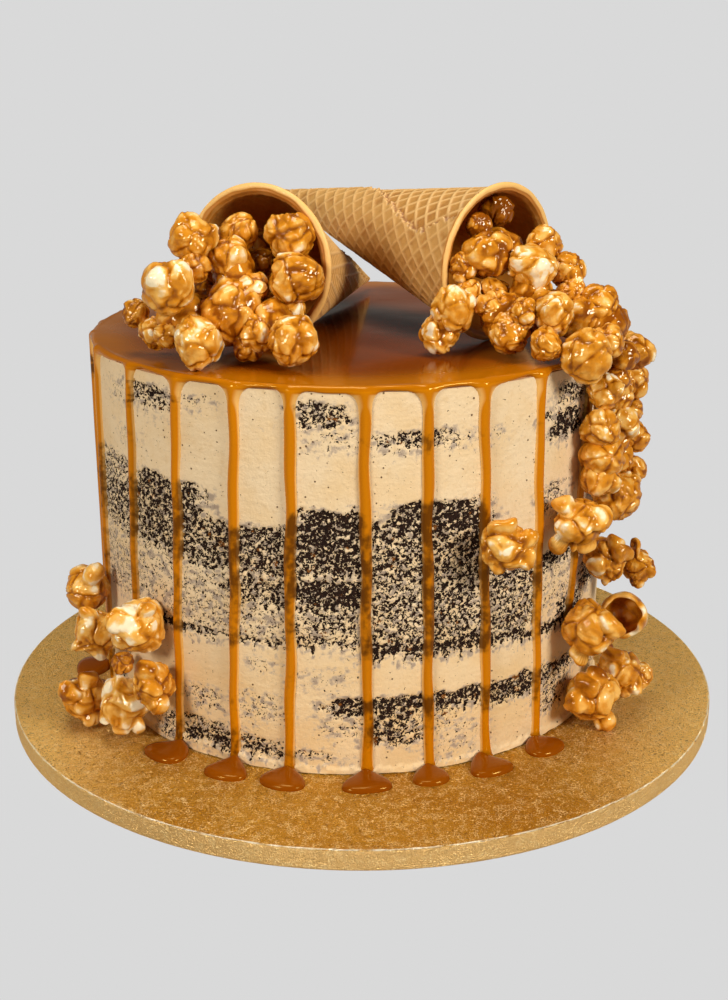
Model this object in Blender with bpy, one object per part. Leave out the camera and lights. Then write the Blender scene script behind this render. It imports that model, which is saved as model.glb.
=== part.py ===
"""Caramel drip cake on a round gold board, dressed with two waffle cones and caramel popcorn.

All sizes are millimetres and MM turns them into metres. +Z is up, -Y is the front of the
cake and +X its right. The origin is on the underside of the board, at its centre.
Bearings are degrees round the cake's axis, 0 at the front and growing to the right.
"""
import math

import bmesh
import bpy
import numpy as np
from mathutils import Matrix, Vector

MM = 0.001
GAP = 0.3               # left between two pieces that touch
ROUND_SIDES = 60        # sides of every round piece that is centred on the cake
SHARP_DEGREES = 50.0    # a sharper edge than this is shaded crisp

# Board: an 11 inch drum of card wrapped in gold foil
BOARD_DIAMETER = 280.0
BOARD_THICKNESS = 8.0
BOARD_ROUNDING = 0.9
BOARD_SIDES = 72

# Cake: an 8 inch round stack, set a little off the middle of its board
CAKE_X = -3.8
CAKE_Y = 8.1
CAKE_RADIUS = 99.4
LAYERS = (              # name, level of its upper face above the table, material
    ("sponge_bottom", 37.0, "sponge"),
    ("filling_lower", 53.0, "buttercream"),
    ("sponge_middle_lower", 79.0, "sponge"),
    ("filling_middle", 80.8, "buttercream"),
    ("sponge_middle_upper", 108.0, "sponge"),
    ("filling_upper", 126.0, "buttercream"),
    ("sponge_top", 143.0, "sponge"),
    ("buttercream_top", 147.0, "buttercream"),
)

# Caramel icing: a poured cap, drips down the side and a pool on the board under each
ICING_TOP = 149.2
ICING_LIP_DEPTH = 3.6
ICING_LIP_PROUD = 1.5
ICING_EDGE_DROP = 1.6   # the cap's edge falls this far over the next width
ICING_EDGE_WIDTH = 2.4
DRIP_WIDTH = 4.8
DRIP_PROUD = 1.9
DRIP_FLARE_WIDTH = 12.0
DRIP_FLARE_DEPTH = 9.0
DRIP_SECTION = ((0.5, 0.0), (0.3, 1.0), (-0.3, 1.0), (-0.5, 0.0))   # shares of width, of proud
DRIP_BEAD_LENGTH = 3.0  # each drip swells a little at its end
DRIP_STEP = 13.1        # bearing from one drip to the next, on average
FRONT_DRIPS = (         # bearing at the rim, bearing at the foot, level of the foot
    (-70.0, -75.0, 8.0), (-51.3, -53.6, 46.0), (-37.0, -39.8, 8.0),
    (-23.3, -25.3, 8.0), (-11.9, -13.0, 8.0), (2.9, 3.3, 8.0),
    (14.8, 16.2, 8.0), (26.7, 29.3, 8.0), (40.6, 43.3, 8.0),
)
BACK_DRIPS_FROM = 94.0  # the popcorn covers the side between the front and back drips
BACK_DRIPS = 15
BACK_DRIP_SWAY = 1.8    # how far a back drip's bearing may be off its step
BACK_DRIP_LEAN = 0.5    # and its foot's bearing off its own
DRIP_SEED = 27
POOL_LENGTH = 17.0
POOL_WIDTH = 13.5
POOL_HEIGHT = 3.0
POOL_SIDES = 10
POOL_RINGS = ((1.0, 0.0), (0.78, 0.8))      # reach and height as shares of the pool's own

# Cones: rolled waffle cones lying on the cake, mouths to the front
CONE_LENGTH = 134.6
CONE_RADIUS = 28.2
CONE_WALL = 2.3
CONE_SIDES = 28
CONE_HOLLOW_DEPTH = 100.0
CONE_BLUNT = 4.0        # the tip is rounded over this length
CONES = (               # name, mouth centre, bearing of the tip, rise, oblique cut and its turn
    ("cone_left", (-36.5, -34.6, 177.9), 17.0, -10.8, 4.8, 57.0),
    ("cone_right", (49.6, -19.8, 178.0), -43.0, 6.7, 1.9, -75.0),
)

# Popcorn: popped kernels in caramel, each a ball of round lobes
KERNEL_LOBES = 14
LOBE_NUDGE = 0.16       # how unevenly the lobes are spread
LOBE_SEAT = (0.50, 0.64)                    # how far out a lobe's middle sits, in kernel radii
LOBE_SIZE = (0.36, 0.44)                    # a lobe's own radius
KERNEL_BODY = 0.84      # the ball between the lobes
KNOB_SEAT = 0.86        # how far out a knob's own middle sits, in kernel radii
HEAP_KERNEL_FACES = 80
LEFT_HEAP_FACES = 2000
RIGHT_HEAP_FACES = 3600
LOOSE_KERNEL_FACES = 110
CORE_FACES = 40
LEFT_SEED = 100         # each group of kernels draws its lobes from its own seeds
RIGHT_SEED = 200
LOOSE_SEED = 300
CORE_SEED_STEP = 90
# On the cake: x, y, height of the middle above the icing, diameter
LEFT_HEAP = (
    (-60, -50, 38, 19.5), (-54, -55, 32, 12.5), (-43, -37, 42, 15.5), (-46, -47, 33, 17.5),
    (-26, -42, 40, 19), (-23, -52, 28, 21), (-64, -63, 27, 21.5), (-77, -44, 12, 14.5),
    (-68, -47, 8, 14), (-55, -65, 10.5, 19.5), (-44, -56, 18, 20), (-55, -45, 20, 15),
    (-38, -52, 25, 13.5), (-28, -49, 16, 18), (-36, -53, 9.5, 16), (-23, -66, 11, 20.5),
    (-39, -60, 6.5, 12), (-36, -34, 30, 12), (-36, -24, 36.5, 12),
)
LEFT_HEAP_CORE = (
    (-45, -54, 16, 28), (-62, -52, 14, 24), (-31, -56, 13, 22), (-44, -46, 28, 21), (-37, -29, 26, 23),
)
RIGHT_HEAP = (
    (45, -34, 34, 20.5), (50, -15, 43, 14), (41, -28, 41, 12), (37, -36, 30, 12.5),
    (65, -26, 34, 15), (60, -39, 30, 19), (72, -31, 28, 15.5), (37, -41, 20, 12),
    (48, -38, 21, 12), (32, -47.5, 17, 17.5), (29, -44, 9, 16.5), (46, -45, 16, 15),
    (52, -48, 9, 16.5), (56, -52, 16, 13), (66, -53, 17, 17.5), (63, -60, 7.5, 14),
    (73, -36, 20, 13), (83, -38, 17, 16),
)
RIGHT_HEAP_CORE = (
    (50, -44, 13, 20), (66, -44, 14, 24), (60, -38, 22, 18), (78, -40, 12, 20), (50, -22, 33, 21),
)
# Stuck to the side: bearing, height of the middle above the table, diameter, lift off the side
CASCADE = (
    (48, 154.5, 20, -1.8), (55.5, 155, 15, 1), (70, 148.5, 17, 1), (70.5, 138, 16, 2.5),
    (58, 139, 14, 0.5), (70.5, 127.5, 14.5, 3.5), (56, 124, 16.5, 0), (71, 118, 16, 4),
    (57, 114, 16.5, 0), (57, 105.5, 15.5, 0), (70, 104.5, 13, 7), (64, 96, 19, 1.5),
    (66, 137, 14, 0), (65, 122, 16, 0), (66, 108, 15, 0),
)
CASCADE_CORE = (
    (62, 158.5, 18, -5), (63, 148, 15, 2), (62, 140, 13, 1), (65, 130, 14, 0), (65, 115, 14, 0),
    (63, 103, 12, 0),
)
# Single kernels: name, bearing, height, diameter, lift, and their knobs as seen from the
# front: how far to the right and up in kernel radii, and the knob's own radius
LOOSE_KERNELS = (
    ("popcorn_front", 29.5, 93, 20, 1.0,
     ((-0.4, 0.95, 0.26), (0.95, 0.3, 0.34), (0.85, -0.5, 0.32), (-0.4, -0.9, 0.26))),
    ("popcorn_side_1", 48, 93.5, 20, -0.6, ((-0.85, -0.8, 0.28), (0.2, -1.0, 0.26), (-0.3, 1.0, 0.22))),
    ("popcorn_side_2", 61.5, 73, 19.5, -0.2, ((0.7, 0.75, 0.3), (-0.5, -0.8, 0.26))),
    ("popcorn_side_3", 68.0, 66, 15, 9.8, ((0.8, 0.5, 0.34), (0.9, -0.3, 0.32), (-0.2, -0.9, 0.32))),
    ("popcorn_side_4", 52, 50.5, 22, -0.6, ((-0.3, -1.0, 0.24), (0.2, -1.0, 0.26))),
    ("popcorn_side_6", 64.5, 23.5, 19, 5.3, ((-0.4, 0.9, 0.3), (0.5, 0.7, 0.3), (0.3, -0.9, 0.32))),
    ("popcorn_side_7", 70.3, 17.7, 11, 14.7, ()),
    ("popcorn_side_8", 55, 20.5, 21.5, -0.4, ((-0.85, -0.35, 0.36), (0.3, -0.95, 0.3), (0.0, 0.95, 0.34))),
    ("popcorn_left_1", -66.5, 57, 20, 0.4, ((0.3, 0.8, 0.4), (-0.2, -0.9, 0.3))),
    ("popcorn_left_2", -59, 44, 18.5, 2.4, ((-0.5, -0.85, 0.26), (0.3, -0.7, 0.38))),
    ("popcorn_left_3", -44.5, 55.5, 21.5, -0.9, ((0.55, 0.8, 0.22),)),
    ("popcorn_left_4", -59.4, 18, 19, 8, ((0.3, 0.95, 0.3), (-0.8, -0.4, 0.26))),
    ("popcorn_left_5", -49.5, 20.5, 20.5, 0.2, ((-0.15, -1.1, 0.28), (0.35, -1.0, 0.3), (-0.8, -0.6, 0.26))),
    ("popcorn_left_6", -38.5, 35, 17.5, 1.8, ((0.5, -0.5, 0.32), (-0.3, 0.8, 0.34))),
    ("popcorn_left_7", -53.5, 34, 10, 2.2, ()),
)
# One kernel is an open hull: bearing, height, diameter, lift, wall and the way it faces
HULL_PLACE = (60.6, 51.3, 17.8, 8.2)
HULL_WALL = 2.0
HULL_SIDES = 12
HULL_OUTER_DEGREES = (-55, -20, 15, 38)     # up its outer face to the lip, then down inside
HULL_INNER_DEGREES = (38, 5, -45)
HULL_FACING = (-0.25, -0.93, 0.25)

MATERIALS = {           # colour, roughness, metallic
    "gold_foil": ((0.62, 0.38, 0.10, 1.0), 0.30, 1.0),
    "sponge": ((0.035, 0.018, 0.011, 1.0), 0.85, 0.0),
    "buttercream": ((0.83, 0.62, 0.36, 1.0), 0.55, 0.0),
    "caramel": ((0.50, 0.19, 0.025, 1.0), 0.15, 0.0),
    "wafer": ((0.66, 0.38, 0.14, 1.0), 0.60, 0.0),
    "popcorn": ((0.72, 0.42, 0.13, 1.0), 0.25, 0.0),
}


def clear_scene():
    """Remove every object that the new file starts with."""
    for item in list(bpy.data.objects):
        bpy.data.objects.remove(item, do_unlink=True)


def material(name):
    """The named Principled material, made once."""
    known = bpy.data.materials.get(name)
    if known:
        return known
    colour, roughness, metallic = MATERIALS[name]
    made = bpy.data.materials.new(name)
    made.use_nodes = True
    shader = made.node_tree.nodes["Principled BSDF"]
    shader.inputs["Base Color"].default_value = colour
    shader.inputs["Roughness"].default_value = roughness
    shader.inputs["Metallic"].default_value = metallic
    return made


def add_object(name, points, faces, finish):
    """A mesh object from points in millimetres and its faces, normals made to point out."""
    mesh = bpy.data.meshes.new(name)
    metres = [tuple(value * MM for value in point) for point in points]
    mesh.from_pydata(metres, [], faces)
    tidy = bmesh.new()
    tidy.from_mesh(mesh)
    bmesh.ops.recalc_face_normals(tidy, faces=tidy.faces)
    tidy.to_mesh(mesh)
    tidy.free()
    mesh.materials.append(material(finish))
    item = bpy.data.objects.new(name, mesh)
    bpy.context.scene.collection.objects.link(item)
    return item


def shade_round(item):
    """Shade smooth, with sharp edges left crisp."""
    item.data.shade_smooth()
    item.data.set_sharp_from_angle(angle=math.radians(SHARP_DEGREES))


def turned(name, profile, sides, finish, centre=(0.0, 0.0)):
    """A closed solid turned from a profile of (radius, level), axis point to axis point."""
    points = [(centre[0], centre[1], profile[0][1])]
    for radius, level in profile[1:-1]:
        for step in range(sides):
            turn = math.tau * step / sides
            points.append((centre[0] + radius * math.cos(turn), centre[1] + radius * math.sin(turn), level))
    points.append((centre[0], centre[1], profile[-1][1]))
    rings = len(profile) - 2
    last = len(points) - 1
    faces = []
    for step in range(sides):
        after = (step + 1) % sides
        faces.append((0, 1 + step, 1 + after))
        for ring in range(rings - 1):
            low = 1 + ring * sides
            high = low + sides
            faces.append((low + step, high + step, high + after, low + after))
        top = 1 + (rings - 1) * sides
        faces.append((last, top + after, top + step))
    return add_object(name, points, faces, finish)


def on_side(bearing, distance, level):
    """A point at a bearing and distance from the cake's axis."""
    turn = math.radians(bearing)
    return (CAKE_X + distance * math.sin(turn), CAKE_Y - distance * math.cos(turn), level)


def make_board():
    """The drum: a disc with softly rounded edges."""
    radius = BOARD_DIAMETER / 2
    soft = BOARD_ROUNDING
    profile = (
        (0.0, 0.0), (radius - soft, 0.0), (radius, soft),
        (radius, BOARD_THICKNESS - soft), (radius - soft, BOARD_THICKNESS), (0.0, BOARD_THICKNESS),
    )
    shade_round(turned("cake_board", profile, BOARD_SIDES, "gold_foil"))


def make_layers():
    """Sponges and fillings, each a disc through the whole cake."""
    floor = BOARD_THICKNESS
    for name, top, finish in LAYERS:
        bottom = floor + GAP
        profile = ((0.0, bottom), (CAKE_RADIUS, bottom), (CAKE_RADIUS, top), (0.0, top))
        shade_round(turned(name, profile, ROUND_SIDES, finish, (CAKE_X, CAKE_Y)))
        floor = top


def icing_cap():
    """The poured cap: a flat top that rounds over the edge into a short lip."""
    under = LAYERS[-1][1] + GAP
    inner = CAKE_RADIUS + GAP
    outer = inner + ICING_LIP_PROUD
    lip = ICING_TOP - ICING_LIP_DEPTH
    profile = (
        (0.0, under), (inner, under), (inner, lip), (outer, lip),
        (outer, ICING_TOP - ICING_EDGE_DROP), (outer - ICING_EDGE_WIDTH, ICING_TOP), (0.0, ICING_TOP),
    )
    return turned("caramel_icing", profile, ROUND_SIDES, "caramel", (CAKE_X, CAKE_Y))


def drip_section(bearing, level, width, proud):
    """A half round whose flat back lies against the side."""
    inner = CAKE_RADIUS + GAP * 1.5
    ring = []
    for aside, out in DRIP_SECTION:
        turned_by = math.degrees(width * aside / inner)
        ring.append(on_side(bearing + turned_by, inner + proud * out, level))
    return ring


def icing_drip(start, end, foot):
    """One drip: a flare under the lip, a long round strand, then its end."""
    top = ICING_TOP - ICING_LIP_DEPTH / 2
    drop = top - foot
    stations = (
        (0.0, DRIP_FLARE_WIDTH, ICING_LIP_PROUD),
        (ICING_LIP_DEPTH, DRIP_FLARE_WIDTH * 0.62, ICING_LIP_PROUD),
        (DRIP_FLARE_DEPTH, DRIP_WIDTH, DRIP_PROUD * 0.9),
        (drop - DRIP_BEAD_LENGTH, DRIP_WIDTH * 1.05, DRIP_PROUD * 1.1),
        (drop - GAP * 3, DRIP_WIDTH * 0.9, DRIP_PROUD),
    )
    points = []
    for fall, width, proud in stations:
        bearing = start + (end - start) * fall / drop
        points.extend(drip_section(bearing, top - fall, width, proud))
    sides = len(DRIP_SECTION)
    faces = [tuple(range(sides)), tuple(range(len(points) - 1, len(points) - 1 - sides, -1))]
    for ring in range(len(stations) - 1):
        for step in range(sides):
            after = (step + 1) % sides
            low = ring * sides
            faces.append((low + step, low + sides + step, low + sides + after, low + after))
    return add_object("drip", points, faces, "caramel")


def icing_pool(bearing, size):
    """The pool at a drip's foot: a low dome, widest in front of the drip."""
    middle = on_side(bearing, CAKE_RADIUS + GAP * 2 + POOL_WIDTH * size / 2, 0.0)
    turn = math.radians(bearing)
    points = []
    for reach, height in POOL_RINGS:
        for step in range(POOL_SIDES):
            around = math.tau * step / POOL_SIDES
            along = POOL_LENGTH / 2 * size * reach * math.cos(around)
            out = POOL_WIDTH / 2 * size * reach * math.sin(around)
            points.append((
                middle[0] + along * math.cos(turn) + out * math.sin(turn),
                middle[1] + along * math.sin(turn) - out * math.cos(turn),
                BOARD_THICKNESS + GAP + POOL_HEIGHT * size * height,
            ))
    points.append((middle[0], middle[1], BOARD_THICKNESS + GAP + POOL_HEIGHT * size))
    crown = len(points) - 1
    faces = [tuple(range(POOL_SIDES - 1, -1, -1))]
    for step in range(POOL_SIDES):
        after = (step + 1) % POOL_SIDES
        faces.append((step, after, POOL_SIDES + after, POOL_SIDES + step))
        faces.append((POOL_SIDES + step, POOL_SIDES + after, crown))
    return add_object("pool", points, faces, "caramel")


def all_drips():
    """Bearings at rim and foot, foot level and pool size of every drip round the cake."""
    rng = np.random.default_rng(DRIP_SEED)
    drips = [(*drip, rng.uniform(0.85, 1.1)) for drip in FRONT_DRIPS]
    for count in range(BACK_DRIPS):
        bearing = BACK_DRIPS_FROM + DRIP_STEP * count + rng.uniform(-BACK_DRIP_SWAY, BACK_DRIP_SWAY)
        foot = bearing + rng.uniform(-BACK_DRIP_LEAN, BACK_DRIP_LEAN)
        drips.append((bearing, foot, BOARD_THICKNESS, rng.uniform(0.8, 1.1)))
    return drips


def fuse(base, pieces):
    """Join the pieces onto the base in one union, then drop them and any loose scrap."""
    group = bpy.data.collections.new(base.name + "_pieces")
    bpy.context.scene.collection.children.link(group)
    for piece in pieces:
        bpy.context.scene.collection.objects.unlink(piece)
        group.objects.link(piece)
    union = base.modifiers.new("union", "BOOLEAN")
    union.operation = "UNION"
    union.operand_type = "COLLECTION"
    union.collection = group
    union.solver = "EXACT"
    evaluated = base.evaluated_get(bpy.context.evaluated_depsgraph_get())
    joined = bpy.data.meshes.new_from_object(evaluated)
    base.modifiers.clear()
    base.data = joined
    for piece in pieces:
        bpy.data.objects.remove(piece, do_unlink=True)
    bpy.data.collections.remove(group)
    drop_scraps(joined)
    return base


def fewer_faces(item, face_count):
    """Thin the mesh evenly down to about the given number of triangles."""
    thin = item.modifiers.new("fewer faces", "DECIMATE")
    thin.ratio = min(1.0, face_count / len(item.data.polygons))
    evaluated = item.evaluated_get(bpy.context.evaluated_depsgraph_get())
    coarse = bpy.data.meshes.new_from_object(evaluated)
    item.modifiers.clear()
    item.data = coarse


def drop_scraps(mesh):
    """Keep only the largest connected shell, with short edges closed up."""
    work = bmesh.new()
    work.from_mesh(mesh)
    bmesh.ops.remove_doubles(work, verts=work.verts, dist=0.05 * MM)
    bmesh.ops.triangulate(work, faces=work.faces)
    bmesh.ops.dissolve_degenerate(work, edges=work.edges, dist=0.02 * MM)
    left = set(work.verts)
    shells = []
    while left:
        shell = set()
        queue = [left.pop()]
        while queue:
            vert = queue.pop()
            shell.add(vert)
            for edge in vert.link_edges:
                other = edge.other_vert(vert)
                if other in left:
                    left.remove(other)
                    queue.append(other)
        shells.append(shell)
    largest = max(shells, key=len)
    loose = [vert for shell in shells if shell is not largest for vert in shell]
    bmesh.ops.delete(work, geom=loose, context="VERTS")
    bmesh.ops.triangulate(work, faces=work.faces)
    bmesh.ops.recalc_face_normals(work, faces=work.faces)
    work.to_mesh(mesh)
    work.free()


def make_icing():
    """Cap, drips and pools fused into the one pour that they are."""
    pieces = []
    for start, end, foot, size in all_drips():
        pieces.append(icing_drip(start, end, foot))
        if foot <= BOARD_THICKNESS:
            pieces.append(icing_pool(end, size))
    shade_round(fuse(icing_cap(), pieces))


def cone_frame(bearing, rise):
    """The cone's own axes: from mouth to tip, level across, and up across."""
    turn = math.radians(bearing)
    lift = math.radians(rise)
    axis = Vector((math.cos(lift) * math.sin(turn), math.cos(lift) * math.cos(turn), math.sin(lift)))
    across = axis.cross(Vector((0.0, 0.0, 1.0))).normalized()
    return axis, across, across.cross(axis)


def make_cone(name, mouth, bearing, rise, cut, cut_turn):
    """A thin rolled wafer, hollow from its slightly oblique mouth almost to its tip."""
    axis, across, upward = cone_frame(bearing, rise)
    mouth = Vector(mouth)
    inner_radius = CONE_RADIUS - CONE_WALL
    hollow_end_radius = inner_radius * (1 - CONE_HOLLOW_DEPTH / (CONE_LENGTH - CONE_WALL * 3))
    points = []

    def ring(radius_at_mouth, depth, radius, oblique):
        """One ring of points; the mouth's rings lean with the oblique cut."""
        for step in range(CONE_SIDES):
            turn = math.tau * step / CONE_SIDES
            reach = cut * math.cos(turn - math.radians(cut_turn)) if oblique else 0.0
            wide = radius + radius_at_mouth * reach / CONE_LENGTH
            spoke = across * math.cos(turn) + upward * math.sin(turn)
            points.append(tuple(mouth + axis * (depth - reach) + spoke * wide))

    ring(0.0, CONE_HOLLOW_DEPTH, hollow_end_radius, False)
    ring(inner_radius, 0.0, inner_radius, True)
    ring(CONE_RADIUS, 0.0, CONE_RADIUS, True)
    ring(0.0, CONE_LENGTH * 0.5, CONE_RADIUS * 0.5, False)
    ring(0.0, CONE_LENGTH - CONE_BLUNT, CONE_RADIUS * CONE_BLUNT / CONE_LENGTH + GAP, False)
    points.append(tuple(mouth + axis * (CONE_HOLLOW_DEPTH + CONE_BLUNT * 0.4)))
    points.append(tuple(mouth + axis * (CONE_LENGTH - CONE_BLUNT / 4)))
    floor_point = len(points) - 2
    tip_point = len(points) - 1
    faces = []
    for step in range(CONE_SIDES):
        after = (step + 1) % CONE_SIDES
        faces.append((floor_point, after, step))
        for band in range(4):
            low = band * CONE_SIDES
            high = low + CONE_SIDES
            faces.append((low + step, low + after, high + after, high + step))
        end = 4 * CONE_SIDES
        faces.append((end + step, end + after, tip_point))
    shade_round(add_object(name, points, faces, "wafer"))


def spread_directions(count, rng):
    """Directions spread evenly over a sphere, then turned and nudged at random."""
    index = np.arange(count) + 0.5
    polar = np.arccos(1 - 2 * index / count)
    around = math.pi * (1 + math.sqrt(5)) * index + rng.uniform(0, math.tau)
    spread = np.stack((np.sin(polar) * np.cos(around), np.sin(polar) * np.sin(around), np.cos(polar)), 1)
    spread += rng.normal(0.0, LOBE_NUDGE, spread.shape)
    spread /= np.linalg.norm(spread, axis=1, keepdims=True)
    turned_frame, _ = np.linalg.qr(rng.normal(size=(3, 3)))
    return spread @ turned_frame


def kernel_reach(directions, seed, knobs=()):
    """How far a popped kernel reaches along each direction, for a radius of about one.

    The kernel is a ball with round lobes set half into it: along a direction, each lobe
    reaches to its own sphere's far side, and the longest reach wins. Knobs are lobes that
    stand further out, each at a place seen from the front.
    """
    rng = np.random.default_rng(seed)
    lobes = spread_directions(KERNEL_LOBES, rng)
    seat = rng.uniform(*LOBE_SEAT, KERNEL_LOBES)
    size = rng.uniform(*LOBE_SIZE, KERNEL_LOBES)
    for right, up, knob_size in knobs:
        outward = -math.sqrt(max(0.0, 1 - right ** 2 - up ** 2))
        way = np.array((right, outward, up)) / math.sqrt(max(1.0, right ** 2 + up ** 2))
        lobes = np.vstack((lobes, way))
        seat = np.append(seat, KNOB_SEAT)
        size = np.append(size, knob_size)
    cosine = np.clip(directions @ lobes.T, -1.0, 1.0)
    inside = size ** 2 - seat ** 2 * (1 - cosine ** 2)
    far_side = seat * cosine + np.sqrt(np.clip(inside, 0.0, None))
    reach = np.where((inside > 0) & (cosine > 0), far_side, 0.0)
    return np.maximum(reach.max(axis=1), KERNEL_BODY)


def make_kernel(name, centre, diameter, seed, face_count, knobs=()):
    """One popped kernel with few sides."""
    ball = bmesh.new()
    bmesh.ops.create_icosphere(ball, subdivisions=3, radius=1.0)
    directions = np.array([vert.co[:] for vert in ball.verts])
    directions /= np.linalg.norm(directions, axis=1, keepdims=True)
    reach = kernel_reach(directions, seed, knobs) * diameter / 2
    points = directions * reach[:, None] + np.array(centre)
    faces = [tuple(vert.index for vert in face.verts) for face in ball.faces]
    ball.free()
    item = add_object(name, points.tolist(), faces, "popcorn")
    fewer_faces(item, face_count)
    return item


def beside(bearing, level, diameter, lift):
    """Centre of a kernel stuck to the cake's side."""
    return on_side(bearing, CAKE_RADIUS + GAP + diameter / 2 + lift, level)


def make_heap(name, kernels, cores, first_seed, face_count):
    """Many kernels stuck together: a plain core with every kernel that shows fused on."""
    pieces = []
    for count, (centre, diameter) in enumerate(kernels):
        pieces.append(make_kernel(name + "_kernel", centre, diameter, first_seed + count, HEAP_KERNEL_FACES))
    balls = []
    for centre, diameter in cores:
        balls.append(make_kernel(name, centre, diameter, first_seed + CORE_SEED_STEP, CORE_FACES))
    heap = fuse(balls[0], balls[1:] + pieces)
    heap.name = name
    fewer_faces(heap, face_count)
    shade_round(heap)


def make_heaps():
    """The heap at the left cone, and the one at the right that runs on down the side."""
    left = [((x, y, ICING_TOP + height), size) for x, y, height, size in LEFT_HEAP]
    left_core = [((x, y, ICING_TOP + height), size) for x, y, height, size in LEFT_HEAP_CORE]
    make_heap("popcorn_heap_left", left, left_core, LEFT_SEED, LEFT_HEAP_FACES)
    right = [((x, y, ICING_TOP + height), size) for x, y, height, size in RIGHT_HEAP]
    right += [(beside(*place), place[2]) for place in CASCADE]
    right_core = [((x, y, ICING_TOP + height), size) for x, y, height, size in RIGHT_HEAP_CORE]
    right_core += [(beside(*place), place[2]) for place in CASCADE_CORE]
    make_heap("popcorn_heap_right", right, right_core, RIGHT_SEED, RIGHT_HEAP_FACES)


def make_loose_kernels():
    """Single kernels stuck to the side or lying on the board."""
    for count, (name, *place, knobs) in enumerate(LOOSE_KERNELS):
        seed = LOOSE_SEED + count
        item = make_kernel(name, beside(*place), place[2], seed, LOOSE_KERNEL_FACES, knobs)
        shade_round(item)


def make_hull():
    """The one kernel that burst open: a thin round bowl that faces forward."""
    outer = HULL_PLACE[2] / 2
    inner = outer - HULL_WALL
    profile = [(0.0, -outer)]
    for degrees in HULL_OUTER_DEGREES:
        turn = math.radians(degrees)
        profile.append((outer * math.cos(turn), outer * math.sin(turn)))
    for degrees in HULL_INNER_DEGREES:
        turn = math.radians(degrees)
        profile.append((inner * math.cos(turn), inner * math.sin(turn)))
    profile.append((0.0, -inner))
    hull = turned("popcorn_side_5", profile, HULL_SIDES, "popcorn")
    facing = Vector(HULL_FACING).to_track_quat("Z", "Y").to_matrix().to_4x4()
    place = Vector(beside(*HULL_PLACE)) * MM
    hull.data.transform(Matrix.Translation(place) @ facing)
    shade_round(hull)


clear_scene()
make_board()
make_layers()
make_icing()
for cone in CONES:
    make_cone(*cone)
make_heaps()
make_loose_kernels()
make_hull()
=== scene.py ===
"""The dressed caramel drip cake: its board, scraped coat, poured caramel, cones and popcorn.

Sizes are millimetres unless a comment says otherwise, and MM turns them into metres. +Z is
up, -Y is the front. Bearings are degrees round the cake's axis, 0 at the front, growing to +X.
"""
import math

import bpy
import numpy as np
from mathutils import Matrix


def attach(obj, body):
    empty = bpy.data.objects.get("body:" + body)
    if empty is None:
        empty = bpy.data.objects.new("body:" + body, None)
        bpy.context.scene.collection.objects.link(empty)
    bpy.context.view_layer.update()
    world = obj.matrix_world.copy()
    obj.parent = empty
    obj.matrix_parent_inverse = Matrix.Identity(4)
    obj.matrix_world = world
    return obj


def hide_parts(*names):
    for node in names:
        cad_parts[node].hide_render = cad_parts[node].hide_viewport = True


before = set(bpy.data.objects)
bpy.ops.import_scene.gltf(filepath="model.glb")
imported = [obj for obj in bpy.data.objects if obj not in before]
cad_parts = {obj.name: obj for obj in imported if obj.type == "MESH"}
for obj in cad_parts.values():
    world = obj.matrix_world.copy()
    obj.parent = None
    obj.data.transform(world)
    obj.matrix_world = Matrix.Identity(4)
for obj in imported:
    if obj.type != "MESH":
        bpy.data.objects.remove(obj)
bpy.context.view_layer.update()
MM = 0.001


# ---- Camera ---------------------------------------------------------------------------------
# The photograph was taken from half a metre in front of the cake, a hand's width above its
# cones, looking down at it by a little over 18 degrees.
VIEW_FROM = (0.84, -541.8, 260.5)
VIEW_DOWN = math.radians(18.43)
FOCAL_LENGTH_PIXELS = 1430.4
PICTURE_HEIGHT_PIXELS = 1000

eye = bpy.data.cameras.new("photo_view")
eye.lens = FOCAL_LENGTH_PIXELS * eye.sensor_width / PICTURE_HEIGHT_PIXELS
eye.clip_start = 0.01
camera = bpy.data.objects.new("photo_view", eye)
camera.location = np.array(VIEW_FROM) * MM
camera.rotation_euler = (math.pi / 2 - VIEW_DOWN, 0.0, 0.0)
bpy.context.scene.collection.objects.link(camera)
bpy.context.scene.camera = camera


# ---- Studio ---------------------------------------------------------------------------------
# A pale lit table with a low backdrop round it, two soft lights in front of the cake and a
# wide one above it. The camera sees table and backdrop as one even grey.
TABLE_RADIUS = 1100.0
BACKDROP_RADIUS = 2600.0
BACKDROP_HEIGHT = 640.0
COVE_SHARE = 0.6        # how much of that height is the backdrop's rounded foot
EVEN_GREY = 0.694       # radiance that the camera sees
TABLE_GLOW = 0.42       # radiance that the table sheds on the cake
BACKDROP_GLOW = 0.24
WARM_WHITE = (1.0, 0.93, 0.83)
LIGHTS = (              # name, place in metres, width in metres, power in watts
    ("right_soft_box", (1.01, -0.87, 0.80), 0.42, 19.1),
    ("left_soft_box", (-0.88, -1.00, 0.75), 0.36, 12.7),
    ("overhead", (-0.10, 0.02, 1.40), 0.6, 8.8),
)
LIT_POINT = (0.0, 0.0, 0.1)     # metres: where the lights are aimed
AMBIENT = 0.07
AMBIENT_COLOUR = (1.0, 0.99, 0.97, 1.0)


def ring_faces(rows, columns):
    """Quads of a grid of points whose rows close round on themselves."""
    index = np.arange(rows * columns).reshape(rows, columns)
    low, high = index[:-1], index[1:]
    return np.stack((low, np.roll(low, -1, 1), np.roll(high, -1, 1), high), -1).reshape(-1, 4)


def fan_faces(ring, hub, outward_first):
    """Triangles from a closed ring of point numbers to one hub point."""
    after = np.roll(ring, -1)
    hubs = np.full(len(ring), hub)
    order = (ring, after, hubs) if outward_first else (after, ring, hubs)
    return np.stack(order, -1)


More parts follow.
